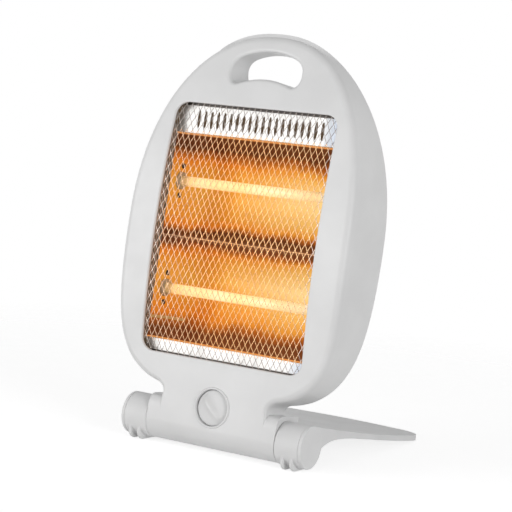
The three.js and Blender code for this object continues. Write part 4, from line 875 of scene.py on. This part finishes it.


# painted reflections: orange over the troughs, grey-brown at the window's sides, dull over the lips
painted_glow_reflection = chrome.ramp(share_across(own_x), (0.1, (0.84, 0.58, 0.41)), (0.45, (0.94, 0.56, 0.27)),
                        (0.9, (0.92, 0.62, 0.36)))
painted_wire_reflection = chrome.mix(abs(own_x) > 0.0835, painted_glow_reflection, (0.82, 0.69, 0.61))
painted_wire_reflection = chrome.mix(abs(own_z - GLOW_MIDDLE) > 0.1025, painted_wire_reflection, (0.50, 0.46, 0.43))
uneven = chrome.ramp(chrome.noise(160.0), (0.3, 0.72), (0.7, 1.0))
chrome.look({"Base Color": chrome.mix(1.0, painted_wire_reflection, uneven, "MULTIPLY"), "Metallic": 1.0,
             "Roughness": 0.22})
chrome.bump(chrome.noise(700.0), 0.12, 0.0002)
net.finish(tubes, chrome)
wire_net = grow("wire_net", net, place=np.asarray)

rim_rings = []
for reach, lift in ((1.8, 2.9), (3.6, 2.9), (3.6, 3.9), (1.8, 3.9)):
    loop = window_at(reach)
    rim_rings.append(np.stack([loop[:, 0], front_at(loop[:, 1]) + lift, loop[:, 1]], 1))
rim = skin("net_rim", rim_rings, np.asarray, "joined")
edit = bmesh.new()
for item in (wire_net, rim):
    edit.from_mesh(item.data)
edit.to_mesh(wire_net.data)
edit.free()
bpy.data.objects.remove(rim)
place_mesh(wire_net, leaned)
wire_net.data.shade_smooth()
dress(wire_net, chrome, "heater", "chrome_wire", "grille")

# %% [markdown]
# ## The reflector
# One polished sheet is folded into an upper lip with twenty slots, two troughs that meet in a
# narrow ridge, and a lower lip. Its fold line is drawn once, given the sheet's thickness and
# pushed across. The slots are one upright pill, copied along a row and cut out.

# %% Fold line of the sheet
FACE, TROUGH_BACK, RIDGE = -10.0, 31.0, 0.0
TROUGH_HIGH, TROUGH_LOW, LIP_HIGH, LIP_LOW = 277.5, 75.5, 318.0, 51.5
TROUGH_MIDDLE, QUARTER = (TROUGH_HIGH + TROUGH_LOW) / 2, (TROUGH_HIGH - TROUGH_LOW) / 4
SHEET, SHEET_HALF_WIDTH = 0.8, 91.0


def fold_line(steps=40):
    points = [(FACE, LIP_HIGH), (FACE, TROUGH_HIGH + 1.6)]
    for high, low, start, end in ((TROUGH_HIGH, TROUGH_MIDDLE + 0.9, FACE, RIDGE),
                                  (TROUGH_MIDDLE - 0.9, TROUGH_LOW, RIDGE, FACE)):
        for step in range(steps + 1):
            turn = math.pi * step / steps
            z = (high + low) / 2 + (high - low) / 2 * math.cos(turn)
            edge = start if step * 2 < steps else end
            points.append((edge + (TROUGH_BACK - edge) * math.sin(turn), z))
    return np.array(points + [(FACE, TROUGH_LOW - 1.6), (FACE, LIP_LOW)])


# %% Folded sheet with its row of slots
front = fold_line()
along = np.gradient(front, axis=0)
along /= np.linalg.norm(along, axis=1)[:, None]
rear = front + np.stack([-along[:, 1], along[:, 0]], 1) * SHEET
loop = np.concatenate([front, rear[::-1]])
reflector = skin("reflector_sheet", [
    np.stack([np.full(len(loop), x), loop[:, 0], loop[:, 1]], 1)
    for x in np.linspace(-SHEET_HALF_WIDTH, SHEET_HALF_WIDTH, 9)])

row = Tree("lip_slots", {"Count": 20, "Pitch": 7.2, "Width": 3.6, "Length": 17.5, "Middle": 291.2})
first = (row["Count"] - 1.0) * -0.5 * row["Pitch"]
slot_line = row.shape("MeshLine", {"Count": row["Count"], "Offset": row.point(row["Pitch"]),
                                   "Start Location": row.point(first, FACE, row["Middle"])})
pill = row.shape("MeshCylinder", {"Vertices": 24, "Radius": 0.5, "Depth": 8.0})
upright = row.shape("Transform", {"Geometry": pill, "Rotation": (math.pi / 2, 0, 0)})
row.finish(row.shape("InstanceOnPoints", {
    "Points": slot_line, "Instance": upright,
    "Scale": row.point(row["Width"], 1.0, row["Length"])}), chrome)
cut(reflector, grow("lip_slots", row))
print("reflector folded:", len(reflector.data.polygons), "faces")

# %% [markdown]
# ## The glow in the troughs
# When the tubes burn, the troughs mirror them: bright orange around each tube, deep brown where
# the curve turns away, and clear metal on the flat lips. Real reflections would be noisy and
# dark, so the glow is painted by height with two colour ramps, the right one paler, and part
# of it is given off as light. Thin bright lines are painted highlights on the folds, a soft
# upright darker band is a painted reflection of the tube ends, and one short pale streak is a
# painted reflection of the lower lip as the trough mirrors it.

# %% Colours of the glow
DARK, BROWN, RED_BROWN_GLOW = (0.14, 0.042, 0.013), (0.19, 0.056, 0.018), (0.48, 0.13, 0.018)
ORANGE, AMBER = (0.82, 0.25, 0.022), (0.84, 0.325, 0.035)
GOLD, PALE, CREAM = (0.87, 0.40, 0.060), (0.95, 0.60, 0.18), (1.0, 0.80, 0.42)
GLOW_LOW, GLOW_REACH = 60.0, 250.0  # heights that the ramps cover


def glow_bands(low, middle, high):
    """Colours from the lower lip to the upper one; the three given ones differ by side."""
    bands = ((75.5, BROWN), (87, BROWN), (95, RED_BROWN_GLOW), (102, low), (118, middle), (138, high),
             (156, middle), (164, low), (168, RED_BROWN_GLOW), (171.5, BROWN), (178, DARK), (184, DARK),
             (188, RED_BROWN_GLOW), (192, low), (200, middle), (228, high), (244, middle), (252, low),
             (258, RED_BROWN_GLOW), (265, DARK), (276, DARK))
    return [((z - GLOW_LOW) / GLOW_REACH, colour) for z, colour in bands]


sheet = Finish("reflector sheet")
own, own_x, own_z = sheet.upright()
streaks = sheet.noise(60.0, 4.0, (1.6, 0.2, 0.12), own)
soft_cloud = sheet.noise(16.0, 3.0, (1.0, 0.3, 1.4), own)
wander = (streaks - 0.5) * 0.010 + (soft_cloud - 0.5) * 0.016
share_up = (own_z + wander - GLOW_LOW / 1000) / (GLOW_REACH / 1000)
left_glow = sheet.ramp(share_up, *glow_bands(ORANGE, AMBER, GOLD))
right_glow = sheet.ramp(share_up, *glow_bands(GOLD, PALE, CREAM))
toward_right = sheet.ramp((own_x + 0.045) * 8.0, (0.0, 0), (1.0, 1))
glow = sheet.mix(toward_right, left_glow, right_glow)
# painted reflection: the ends mirror each other as a soft upright darker band near the left ends of
# the tubes
painted_end_reflection = sheet.ramp(share_across(own_x + wander), (0.13, 1), (0.19, (0.86, 0.74, 0.70)),
                        (0.25, (0.88, 0.78, 0.72)), (0.33, 1))
glow = sheet.mix(1.0, glow, painted_end_reflection, "MULTIPLY")
# a short pale painted reflection of the lower lip
painted_lip_reflection = (abs(own_z - 0.0958) < 0.0014) * (own_x < -0.071)
glow = sheet.mix(painted_lip_reflection * 0.7, glow, (0.55, 0.40, 0.17))
from_centre = abs(own_z - GLOW_MIDDLE)
# painted highlights: a thin bright line on the ridge and one on each outer fold
glow = sheet.mix(from_centre < 0.0004, glow, (0.62, 0.36, 0.20))  # the ridge
glow = sheet.mix(from_centre > 0.0996, glow, (0.92, 0.40, 0.12))  # the outer folds
print("glow painted in", len(glow_bands(ORANGE, AMBER, GOLD)), "bands")

# %% [markdown]
# The lips stay metal, with a painted shade where the shell's edge shades them and a painted
# bluish shade towards their right end. Only faces that look into a trough may glow, so these get
# a mark; the sheet's back and the plates' outer sides don't.

# %% Polished sheet with lips and lit troughs
# painted bluish shade towards the lips' right end, and painted shade beside the window's edge
painted_right_end_shade = sheet.ramp(own_x * 10.0, (0.66, 0), (0.80, 1))
lip = sheet.mix(painted_right_end_shade, (0.64, 0.63, 0.615), (0.40, 0.43, 0.48))
painted_edge_shade = sheet.math("MAXIMUM", own_z > 0.3040, own_z < 0.0648)
lip = sheet.mix(painted_edge_shade, lip, (0.10, 0.09, 0.085))
lit = (from_centre < 0.1008) * sheet.mark("inside")
mirrored = sheet.mix(1.0, glow, (0.34, 0.29, 0.18), "MULTIPLY")
sheet.look({"Base Color": sheet.mix(lit, lip, mirrored), "Metallic": 0.95,
            "Roughness": sheet.ramp(streaks, (0.3, 0.44), (0.7, 0.54)),
            "Emission Color": glow, "Emission Strength": lit * 0.63})
sheet.bump(streaks, 0.06, 0.0004)


def looks_inward(spot, way):
    x, y, z = spot
    if abs(way[0]) > 900:
        return -x * way[0] > 0
    axis_z = TROUGH_HIGH - QUARTER if z > TROUGH_MIDDLE else TROUGH_LOW + QUARTER
    return (FACE - y) * way[1] + (axis_z - z) * way[2] > 0


mark_faces(smooth(reflector, 50), "inside", looks_inward)
dress(reflector, sheet, "heater", "reflector_sheet", "reflector")

# %% [markdown]
# ## End plates, tubes and coils
# A thin plate closes each end of the troughs and carries the ceramic ends. The plates get the
# painted glow as well. Each tube is clear quartz with a long bright coil inside; burning, the
# whole tube reads as a pale yellow rod, so the glass gives off that light itself and stays
# slightly clear.

# %% End plates
SIDES = ("left", -1), ("right", 1)
LEVELS = ("upper", 231.0), ("lower", 125.0)  # heights of the two tubes
TUBE_DEPTH = 9.0


def end_plate(side):
    radii = TROUGH_BACK - FACE + 2.0, QUARTER + 2
    loop = arc((FACE, TROUGH_LOW + QUARTER), radii, np.linspace(-math.pi / 2, 0, 20))
    loop += arc((FACE, TROUGH_HIGH - QUARTER), radii, np.linspace(0, math.pi / 2, 20))
    x0, x1 = span(side, 91.3, 92.1)
    plate = skin("end_plate", pushed(loop, x0, x1), ends="face")
    for _, z in LEVELS:
        drill(plate, 8.8, x0 - 3, x1 + 3, "x", (TUBE_DEPTH, z), 48)
    return plate


for label, side in SIDES:
    # faces that look into a trough carry the painted glow
    plate = mark_faces(smooth(end_plate(side)), "inside", looks_inward)
    plate.name = f"{label}_end_plate"
    dress(plate, sheet, "heater", "reflector_sheet", f"reflector_end_{label}")

# %% [markdown]
# The glass is brightest near its left end, fades to the right, and is dim inside the ceramics.

# %% Light of the quartz and of the coil
quartz = Finish("burning quartz tube")
flicker = quartz.noise(45.0, 3.0, (1.0, 0.4, 0.4))
_, own_x, _ = quartz.upright()
burning = quartz.ramp(share_across(own_x), (0.085, 0.18), (0.105, 0.57), (0.55, 0.47),
                      (0.90, 0.28), (0.915, 0.18))
quartz.look({
    "Base Color": quartz.ramp(flicker, (0.3, (1.0, 0.80, 0.42)), (0.7, (1.0, 0.88, 0.60))),
    "Emission Color": quartz.ramp(flicker, (0.3, (1.0, 0.70, 0.30)), (0.7, (1.0, 0.80, 0.46))),
    "Emission Strength": burning, "Roughness": 0.12, "Alpha": 0.86})
coil_metal = Finish("burning coil")
heat = coil_metal.ramp(coil_metal.noise(300.0), (0.3, (1.0, 0.62, 0.18)), (0.7, (1.0, 0.80, 0.40)))
coil_metal.look({"Base Color": (0.5, 0.3, 0.15), "Metallic": 1.0, "Roughness": 0.4,
                 "Emission Color": heat, "Emission Strength": 1.6})
print("quartz and coil finishes made")

# %% [markdown]
# The coil is a spiral curve with a round section. The glass is turned with rounded lips.

# %% Quartz tubes and their coils
helix = Tree("helix", {"Turns": 56.0, "Coil radius": 2.2, "Wire radius": 0.42, "Length": 162.0,
                       "Height": 231.0})
spiral = helix.shape("CurveSpiral", {
    "Resolution": 14, "Rotations": helix["Turns"], "Start Radius": helix["Coil radius"],
    "End Radius": helix["Coil radius"], "Height": helix["Length"]})
wire = helix.shape("CurvePrimitiveCircle", {"Resolution": 5, "Radius": helix["Wire radius"]},
                   mode="RADIUS")
wound = helix.shape("CurveToMesh", {"Curve": spiral, "Profile Curve": wire, "Fill Caps": True})
start = helix.point(helix["Length"] * -0.5, TUBE_DEPTH, helix["Height"])
laid = helix.shape("Transform", {"Geometry": wound, "Rotation": (0, math.pi / 2, 0),
                                 "Translation": start})
helix.finish(laid, coil_metal)
glass_profile = [(5.0, -98.6), (5.0, 98.6), (4.6, 99), (4.0, 99), (3.7, 98.6), (3.7, -98.6),
                 (4.0, -99), (4.6, -99)]
for level, z in LEVELS:
    glass = lathe(f"{level}_tube_glass", glass_profile, "x", (TUBE_DEPTH, z), 64)
    coil = grow(f"{level}_coil", helix, Height=z)
    for piece in (glass, coil):
        piece.data.shade_smooth()
    dress(glass, quartz, "heater", "quartz_glass", f"{level}_quartz_tube")
    dress(coil, coil_metal, "heater", "heating_wire", f"{level}_heating_coil")

# %% [markdown]
# ## Ceramic ends and screws
# Every tube end sits in a pale ceramic barrel with an upright base plate, and two small screws
# hold each plate. The screws are all alike, so one is turned, its cross slot is cut once, and a
# node tree copies it to the places that are given as loose points.

# %% Ceramic ends
def ceramic(side, z):
    inner, outer = side * 88.5, side * 103.0
    profile = [(8.0, inner), (8.5, inner + side * 0.6), (8.5, outer - side * 0.6), (8.0, outer)]
    barrel = lathe("barrel", profile, "x", (TUBE_DEPTH, z), 64)
    x0, x1 = span(side, 92.4, 95.6)
    join(barrel, slab("base", (x0, 3, z - 19), (x1, 15, z + 19), edge=0.9))
    return smooth(drill(barrel, 5.3, side * 80, side * 100.5, "x", (TUBE_DEPTH, z), 48))


for level, z in LEVELS:
    for label, side in SIDES:
        holder = ceramic(side, z)
        holder.name = f"{level}_{label}_ceramic_end"
        dress(holder, pale_ceramic, "heater", "ceramic", f"{level}_{label}_ceramic")

# %% One screw, copied to its places
def screw_mesh(head, height, shank, length):
    """A pan-head screw with a cross slot, head toward -Y, its seat at zero."""
    profile = [(shank * 0.6, -length), (shank, -length + 0.8), (shank, 0.0), (head * 0.98, 0.0),
               (head, height * 0.35), (head * 0.92, height * 0.72), (head * 0.66, height * 0.94),
               (head * 0.3, height)]
    body = lathe("screw", [(r, -s) for r, s in profile], "y", (0, 0), 36, np.asarray)
    for w, d in ((0.13, 0.62), (0.62, 0.13)):
        cut(body, slab("cross", (-head * w, -height - 1, -head * d),
                       (head * w, -height * 0.45, head * d), np.asarray))
    return smooth(body, 28)


spread = Tree("screws_at", {"Screw": "Object", "Turn": "Rotation"})
taken = spread.shape("ObjectInfo", {"Object": spread["Screw"], "As Instance": True}, "Geometry")
spread.finish(spread.shape("InstanceOnPoints", {
    "Points": spread["Geometry"], "Instance": taken, "Rotation": spread["Turn"]}), zinc)


def screws(places, head, height, shank, length, turn, finish):
    """Copies one screw to named places; its head faces the way that the turn gives."""
    pattern = screw_mesh(head, height, shank, length)
    for name, spot in places.items():
        start = bpy.data.meshes.new(name)
        start.from_pydata([spot], [], [])
        copy = grow(f"{name}_head", spread, start, Screw=pattern, Turn=turn)
        dress(smooth(copy, 28), finish, "heater", "steel", name)
    bpy.data.objects.remove(pattern)


# %% [markdown]
# The ceramic screws turn their heads to the sides, all others to the front or the back.

# %% All the screws
for label, side in SIDES:
    places = {f"{level}_{label}_ceramic_screw_{end}": (side * 91.1, TUBE_DEPTH, z + offset)
              for level, z in LEVELS for end, offset in (("low", -14.5), ("high", 14.5))}
    screws(places, 2.6, 1.9, 1.5, 6.0, (0.0, 0.0, -side * math.pi / 2), dark_steel)
half_turn = (0.0, 0.0, math.pi)
screws({f"cover_screw_{k + 1}": spot for k, spot in enumerate(cover_screws)},
       3.4, 2.2, 1.5, 9.0, half_turn, zinc)
corners = [(x, -8.9, z) for z in (314.4, 55.1) for x in (-70, 70)]
screws({f"reflector_screw_{k + 1}": spot for k, spot in enumerate(corners)},
       3.4, 2.2, 1.5, 6.0, half_turn, zinc)

# %% [markdown]
# ## The knob
# The selector knob is a low drum whose face swells into a dome with a soft diagonal grip. A
# block joined to a drum would give hard edges that the moulding doesn't have, so the face is a
# height field over rings of points: dome and grip are two formulas that are added together.

# %% Selector knob
KNOB, KNOB_SIDES, KNOB_FACE = 16.9, 120, 18.1
DOME, GRIP, GRIP_WIDTH, GRIP_REACH = 3.4, 3.4, 3.8, 14.5


def knob_height(x, z):
    along, across = (x - z) / math.sqrt(2), (x + z) / math.sqrt(2)
    dome = DOME * (1 - (x * x + z * z) / KNOB ** 2)
    grip = GRIP * math.exp(-(across / GRIP_WIDTH) ** 2) * max(0.0, 1 - (along / GRIP_REACH) ** 4)
    return KNOB_FACE + dome + grip


stations = [(KNOB - 0.8, 16.4), (KNOB, 16.6), (KNOB, 17.2), (KNOB - 0.15, 17.8)]
stations += [(radius, None) for radius in np.linspace(KNOB - 0.5, 0.6, 26)]
knob_rings = []
for radius, height in stations:
    points = []
    for k in range(KNOB_SIDES):
        a = 2 * math.pi * k / KNOB_SIDES
        x, z = radius * math.cos(a), radius * math.sin(a)
        points.append((x, -(knob_height(x, z) if height is None else height), z + KNOB_Z))
    knob_rings.append(points)
knob = skin("selector_knob", knob_rings, ends="face")
dress(smooth(knob, 40), knob_plastic, "knob", "knob_plastic", "control_knob")

# %% [markdown]
# ## The foot
# The foot is one wide tray: a thin skin that falls in a hollow curve from the hinge to a flat
# pad at the back, side flanges, three ribs beneath, and two rings that clasp the hinge tube on
# soft fins. Its side view is drawn once and pushed across; the corners at the back come from a
# rounded plan outline, and the edges are rounded by a bevel.

# %% Side view and plan of the foot
FOOT_END, FOOT_HALF, SKIN = 266.0, 97.0, 3.0
FOOT_RISE, FOOT_PAD, FOOT_HOLLOW = 31.3, 5.0, 1.33


def foot_top(y):
    y = np.asarray(y, float)
    return FOOT_PAD + FOOT_RISE * (np.clip(FOOT_END - y, 0, None) / 231.7) ** FOOT_HOLLOW


def side_form(name, top, bottom, start, end, x0, x1, steps=56):
    """A solid between two height curves, from start to end behind the hinge."""
    y = np.linspace(start, end, steps)
    upper, lower = np.stack([y, top(y)], 1), np.stack([y[::-1], bottom(y[::-1])], 1)
    return skin(name, pushed(np.concatenate([upper, lower]), x0, x1), on_floor)


def plan_cutter():
    """The foot's plan: straight sides, round rear corners and a slightly bowed rear edge."""
    half, end, corner, bow = FOOT_HALF, FOOT_END, 36.0, 5.0
    points = [(half, -60.0)] + arc((half - corner, end - bow - corner), (corner, corner),
                                   np.linspace(0, math.pi / 2, 22))
    for x in np.linspace(half - corner, 0, 14)[1:]:
        points.append((x, end - bow * (x / (half - corner)) ** 2))
    points += [(-x, y) for x, y in points[::-1][1:]]
    rings = [np.array([(x, y, z) for x, y in points]) for z in (-50.0, 90.0)]
    return modify(skin("plan", rings, on_floor, "face"), "TRIANGULATE", min_vertices=5)


def flange_low(y):
    depth = 5.5 + 18.0 * np.exp(-np.clip(y - 20.5, -13, None) / 22.0)
    return np.maximum(foot_top(y) - depth, 0.0)


# %% [markdown]
# The tray is joined from its sloping part and its pad, hollowed from below, notched in front
# where the heater's tube passes, stiffened by ribs and trimmed to the plan.

# %% Tray of the foot
NOTCH, NOTCH_END, PAD_START = 71.6, 46, 228.0
foot = side_form("tray_foot", foot_top, flange_low, 8.0, PAD_START, -FOOT_HALF, FOOT_HALF)
join(foot, side_form("pad", foot_top, flange_low, PAD_START - 1, 272.0, -FOOT_HALF, FOOT_HALF))
cut(foot, side_form("hollow", lambda y: foot_top(y) - SKIN, lambda y: np.full_like(y, -30.0),
                    -10.0, PAD_START, SKIN - FOOT_HALF, FOOT_HALF - SKIN))
cut(foot, slab("notch", (-NOTCH, -40, -20), (NOTCH, NOTCH_END, 90), on_floor, 5, 6))
for x in (-48, 0, 48):
    join(foot, side_form("rib", lambda y: foot_top(y) - 1.0,
                         lambda y: np.maximum(foot_top(y) - 9.5, 0.4), 46.5, 230.0,
                         x - 1.1, x + 1.1))
keep_common(foot, plan_cutter())
round_edges(foot, 1.8, 4)
print("tray of the foot:", len(foot.data.polygons), "faces")

# %% [markdown]
# The rings sit at axis height on top of the tray's arms. Below each ring two soft fins come
# forward and down to the floor; they carry the front of the heater.

# %% Rings and fins
AXIS = HINGE.z * 1000
RING, RING_BORE = 20.5, 16.3
FIN_FRONT, FIN_REAR, FIN_BEND, FIN_LIFT = -18.8, 15.5, 9.5, 6


def soft_fin(x):
    y = np.linspace(FIN_FRONT, FIN_REAR, 40)
    bottom = np.zeros_like(y)
    for past, bend in ((FIN_FRONT + FIN_BEND - y, FIN_BEND), (y - FIN_REAR + FIN_LIFT, FIN_LIFT)):
        rounded = bend - np.sqrt(np.clip(bend ** 2 - past ** 2, 0, None))
        bottom = bottom + np.where(past > 0, rounded, 0.0)
    bottom = np.clip(bottom, 0, AXIS - 1)
    loop = [(a, b) for a, b in zip(y, bottom)] + [(a, AXIS) for a in y[::-1]]
    fin = round_edges(skin("fin", pushed(loop, x - 1.5, x + 1.5), on_floor), 1.2, 4)
    return drill(fin, 18.0, x - 9, x + 9, "x", (0, AXIS), 64, on_floor)


for label, side in SIDES:
    drill(foot, RING_BORE, side * 60, side * 120, "x", (0, AXIS), 128, on_floor)
    inner, outer = side * NOTCH, side * FOOT_HALF
    profile = [(RING_BORE, inner), (19.6, inner), (RING, inner + side * 0.9),
               (RING, outer - side * 0.3), (20.2, outer), (RING_BORE, outer)]
    join(foot, lathe("ring", profile, "x", (0, AXIS), 128, on_floor, "joined"))
    for x in (80.4, 90.2):
        join(foot, soft_fin(side * x))
    profile = [(RING, side * 97.3), (RING, side * 99.6), (20.2, side * 100.2),
               (19.5, side * 100.55), (12.0, side * 100.6), (3.0, side * 100.6)]
    cap = lathe(f"{label}_ring_cap", profile, "x", (0, AXIS), 128, on_floor)
    dress(smooth(cap, 40), foot_plastic, "foot", "foot_plastic", f"{label}_end_cap")
dress(smooth(foot, 34), foot_plastic, "foot", "foot_plastic", "foot_stand")

# %% [markdown]
# ## Pieces that stay as the model gave them
# Switches, bushes, nuts and the inlet are simple solids that hardly show. They keep their
# packed form and get a finish that suits what they are made of.

# %% Finishes for the kept pieces
finishes = {
    "switch_shaft": zinc, "selector_switch": dark_plastic, "terminal_block": pale_ceramic,
    "tilt_switch": dark_plastic, "thermal_cutout": zinc, "cord_inlet": dark_plastic}
for label, side in SIDES:
    finishes.update({f"{label}_pivot_bush": bush_plastic, f"{label}_pivot_nut": zinc,
                     f"{label}_pivot_screw": zinc})
for node, finish in finishes.items():
    for material_slot in bpy.data.objects[node].material_slots:
        material_slot.material = finish.material
print(len(finishes), "kept pieces dressed")

# %% [markdown]
# ## Floor, light and backdrop
# The photo is a pale studio shot: an almost white ground and a faint shadow below the foot.
# The floor gives off a little light of its own and fades out at a distance. Camera, metal and
# glass see a white room; the light that falls on the heater comes from a greyer one, darker
# above, so that pale plastic keeps its shading.

# %% Floor
FLOOR_HALF, FLOOR_Z = 4, -0.0002
corners = [(-1, -1), (1, -1), (1, 1), (-1, 1)]
floor_mesh = bpy.data.meshes.new("floor")
floor_mesh.from_pydata([(x * FLOOR_HALF, y * FLOOR_HALF, FLOOR_Z) for x, y in corners], [],
                       [(0, 1, 2, 3)])
floor = new_object("floor", floor_mesh)
ground = Finish("white ground")
mottle = ground.ramp(ground.noise(30.0), (0.3, 0.49), (0.7, 0.51))
ground.look({"Base Color": mottle, "Roughness": 0.9, "Emission Color": 1.0,
             "Emission Strength": ground.sees_background() * 0.52 + 0.20})
away = ground.make("ShaderNodeVectorMath", {0: ground.place}, "Value", operation="LENGTH")
fading = ground.ramp(away, (0.45, 0), (1.0, 1))
blend = ground.make("ShaderNodeMixShader", {
    "Fac": fading, 1: Value(ground, ground.surface.outputs["BSDF"]),
    2: ground.make("ShaderNodeBsdfTransparent")})
ground.give(ground.graph.nodes["Material Output"].inputs["Surface"], blend)
floor_mesh.materials.append(ground.material)
print("floor laid,", 2 * FLOOR_HALF, "m wide")

# %% [markdown]
# Two large soft lamps stand in front, left and right, and a faint one hangs above.

# %% Lamps and backdrop
def soft_light(name, spot, target, width, height, power):
    data = bpy.data.lights.new(name, "AREA")
    data.shape = "RECTANGLE"
    data.size, data.size_y = width, height
    data.energy = power
    lamp = new_object(name, data)
    away = (Vector(spot) - Vector(target)).normalized()
    lamp.rotation_euler = away.to_track_quat("Z", "Y").to_euler()
    lamp.location = spot


soft_light("front_left", (-1.2, -1.9, 0.4), (0, 0, 0.15), 1.0, 1.2, 19.6)
soft_light("front_right", (1.9, -1.0, 0.55), (0, 0, 0.15), 0.8, 1.0, 15.0)
soft_light("overhead", (0.2, -0.3, 1.8), (0, 0, 0.2), 1.2, 1.2, 0.8)
world = bpy.data.worlds.new("white backdrop")
bpy.context.scene.world = world
world.use_nodes = True
sky = Nodes(world.node_tree)
_, _, z = sky.split(sky.make("ShaderNodeTexCoord", output="Generated"))
room = sky.ramp(z, (0.0, 0.62), (0.25, 0.49), (0.6, 0.30), (1.0, 0.22))
backdrop = sky.graph.nodes["Background"]
sky.give(backdrop.inputs["Color"], sky.mix(sky.sees_background(), room, 1.0))
sky.give(backdrop.inputs["Strength"], 1.0)
bpy.context.scene.view_settings.view_transform = "Standard"
print("studio ready")
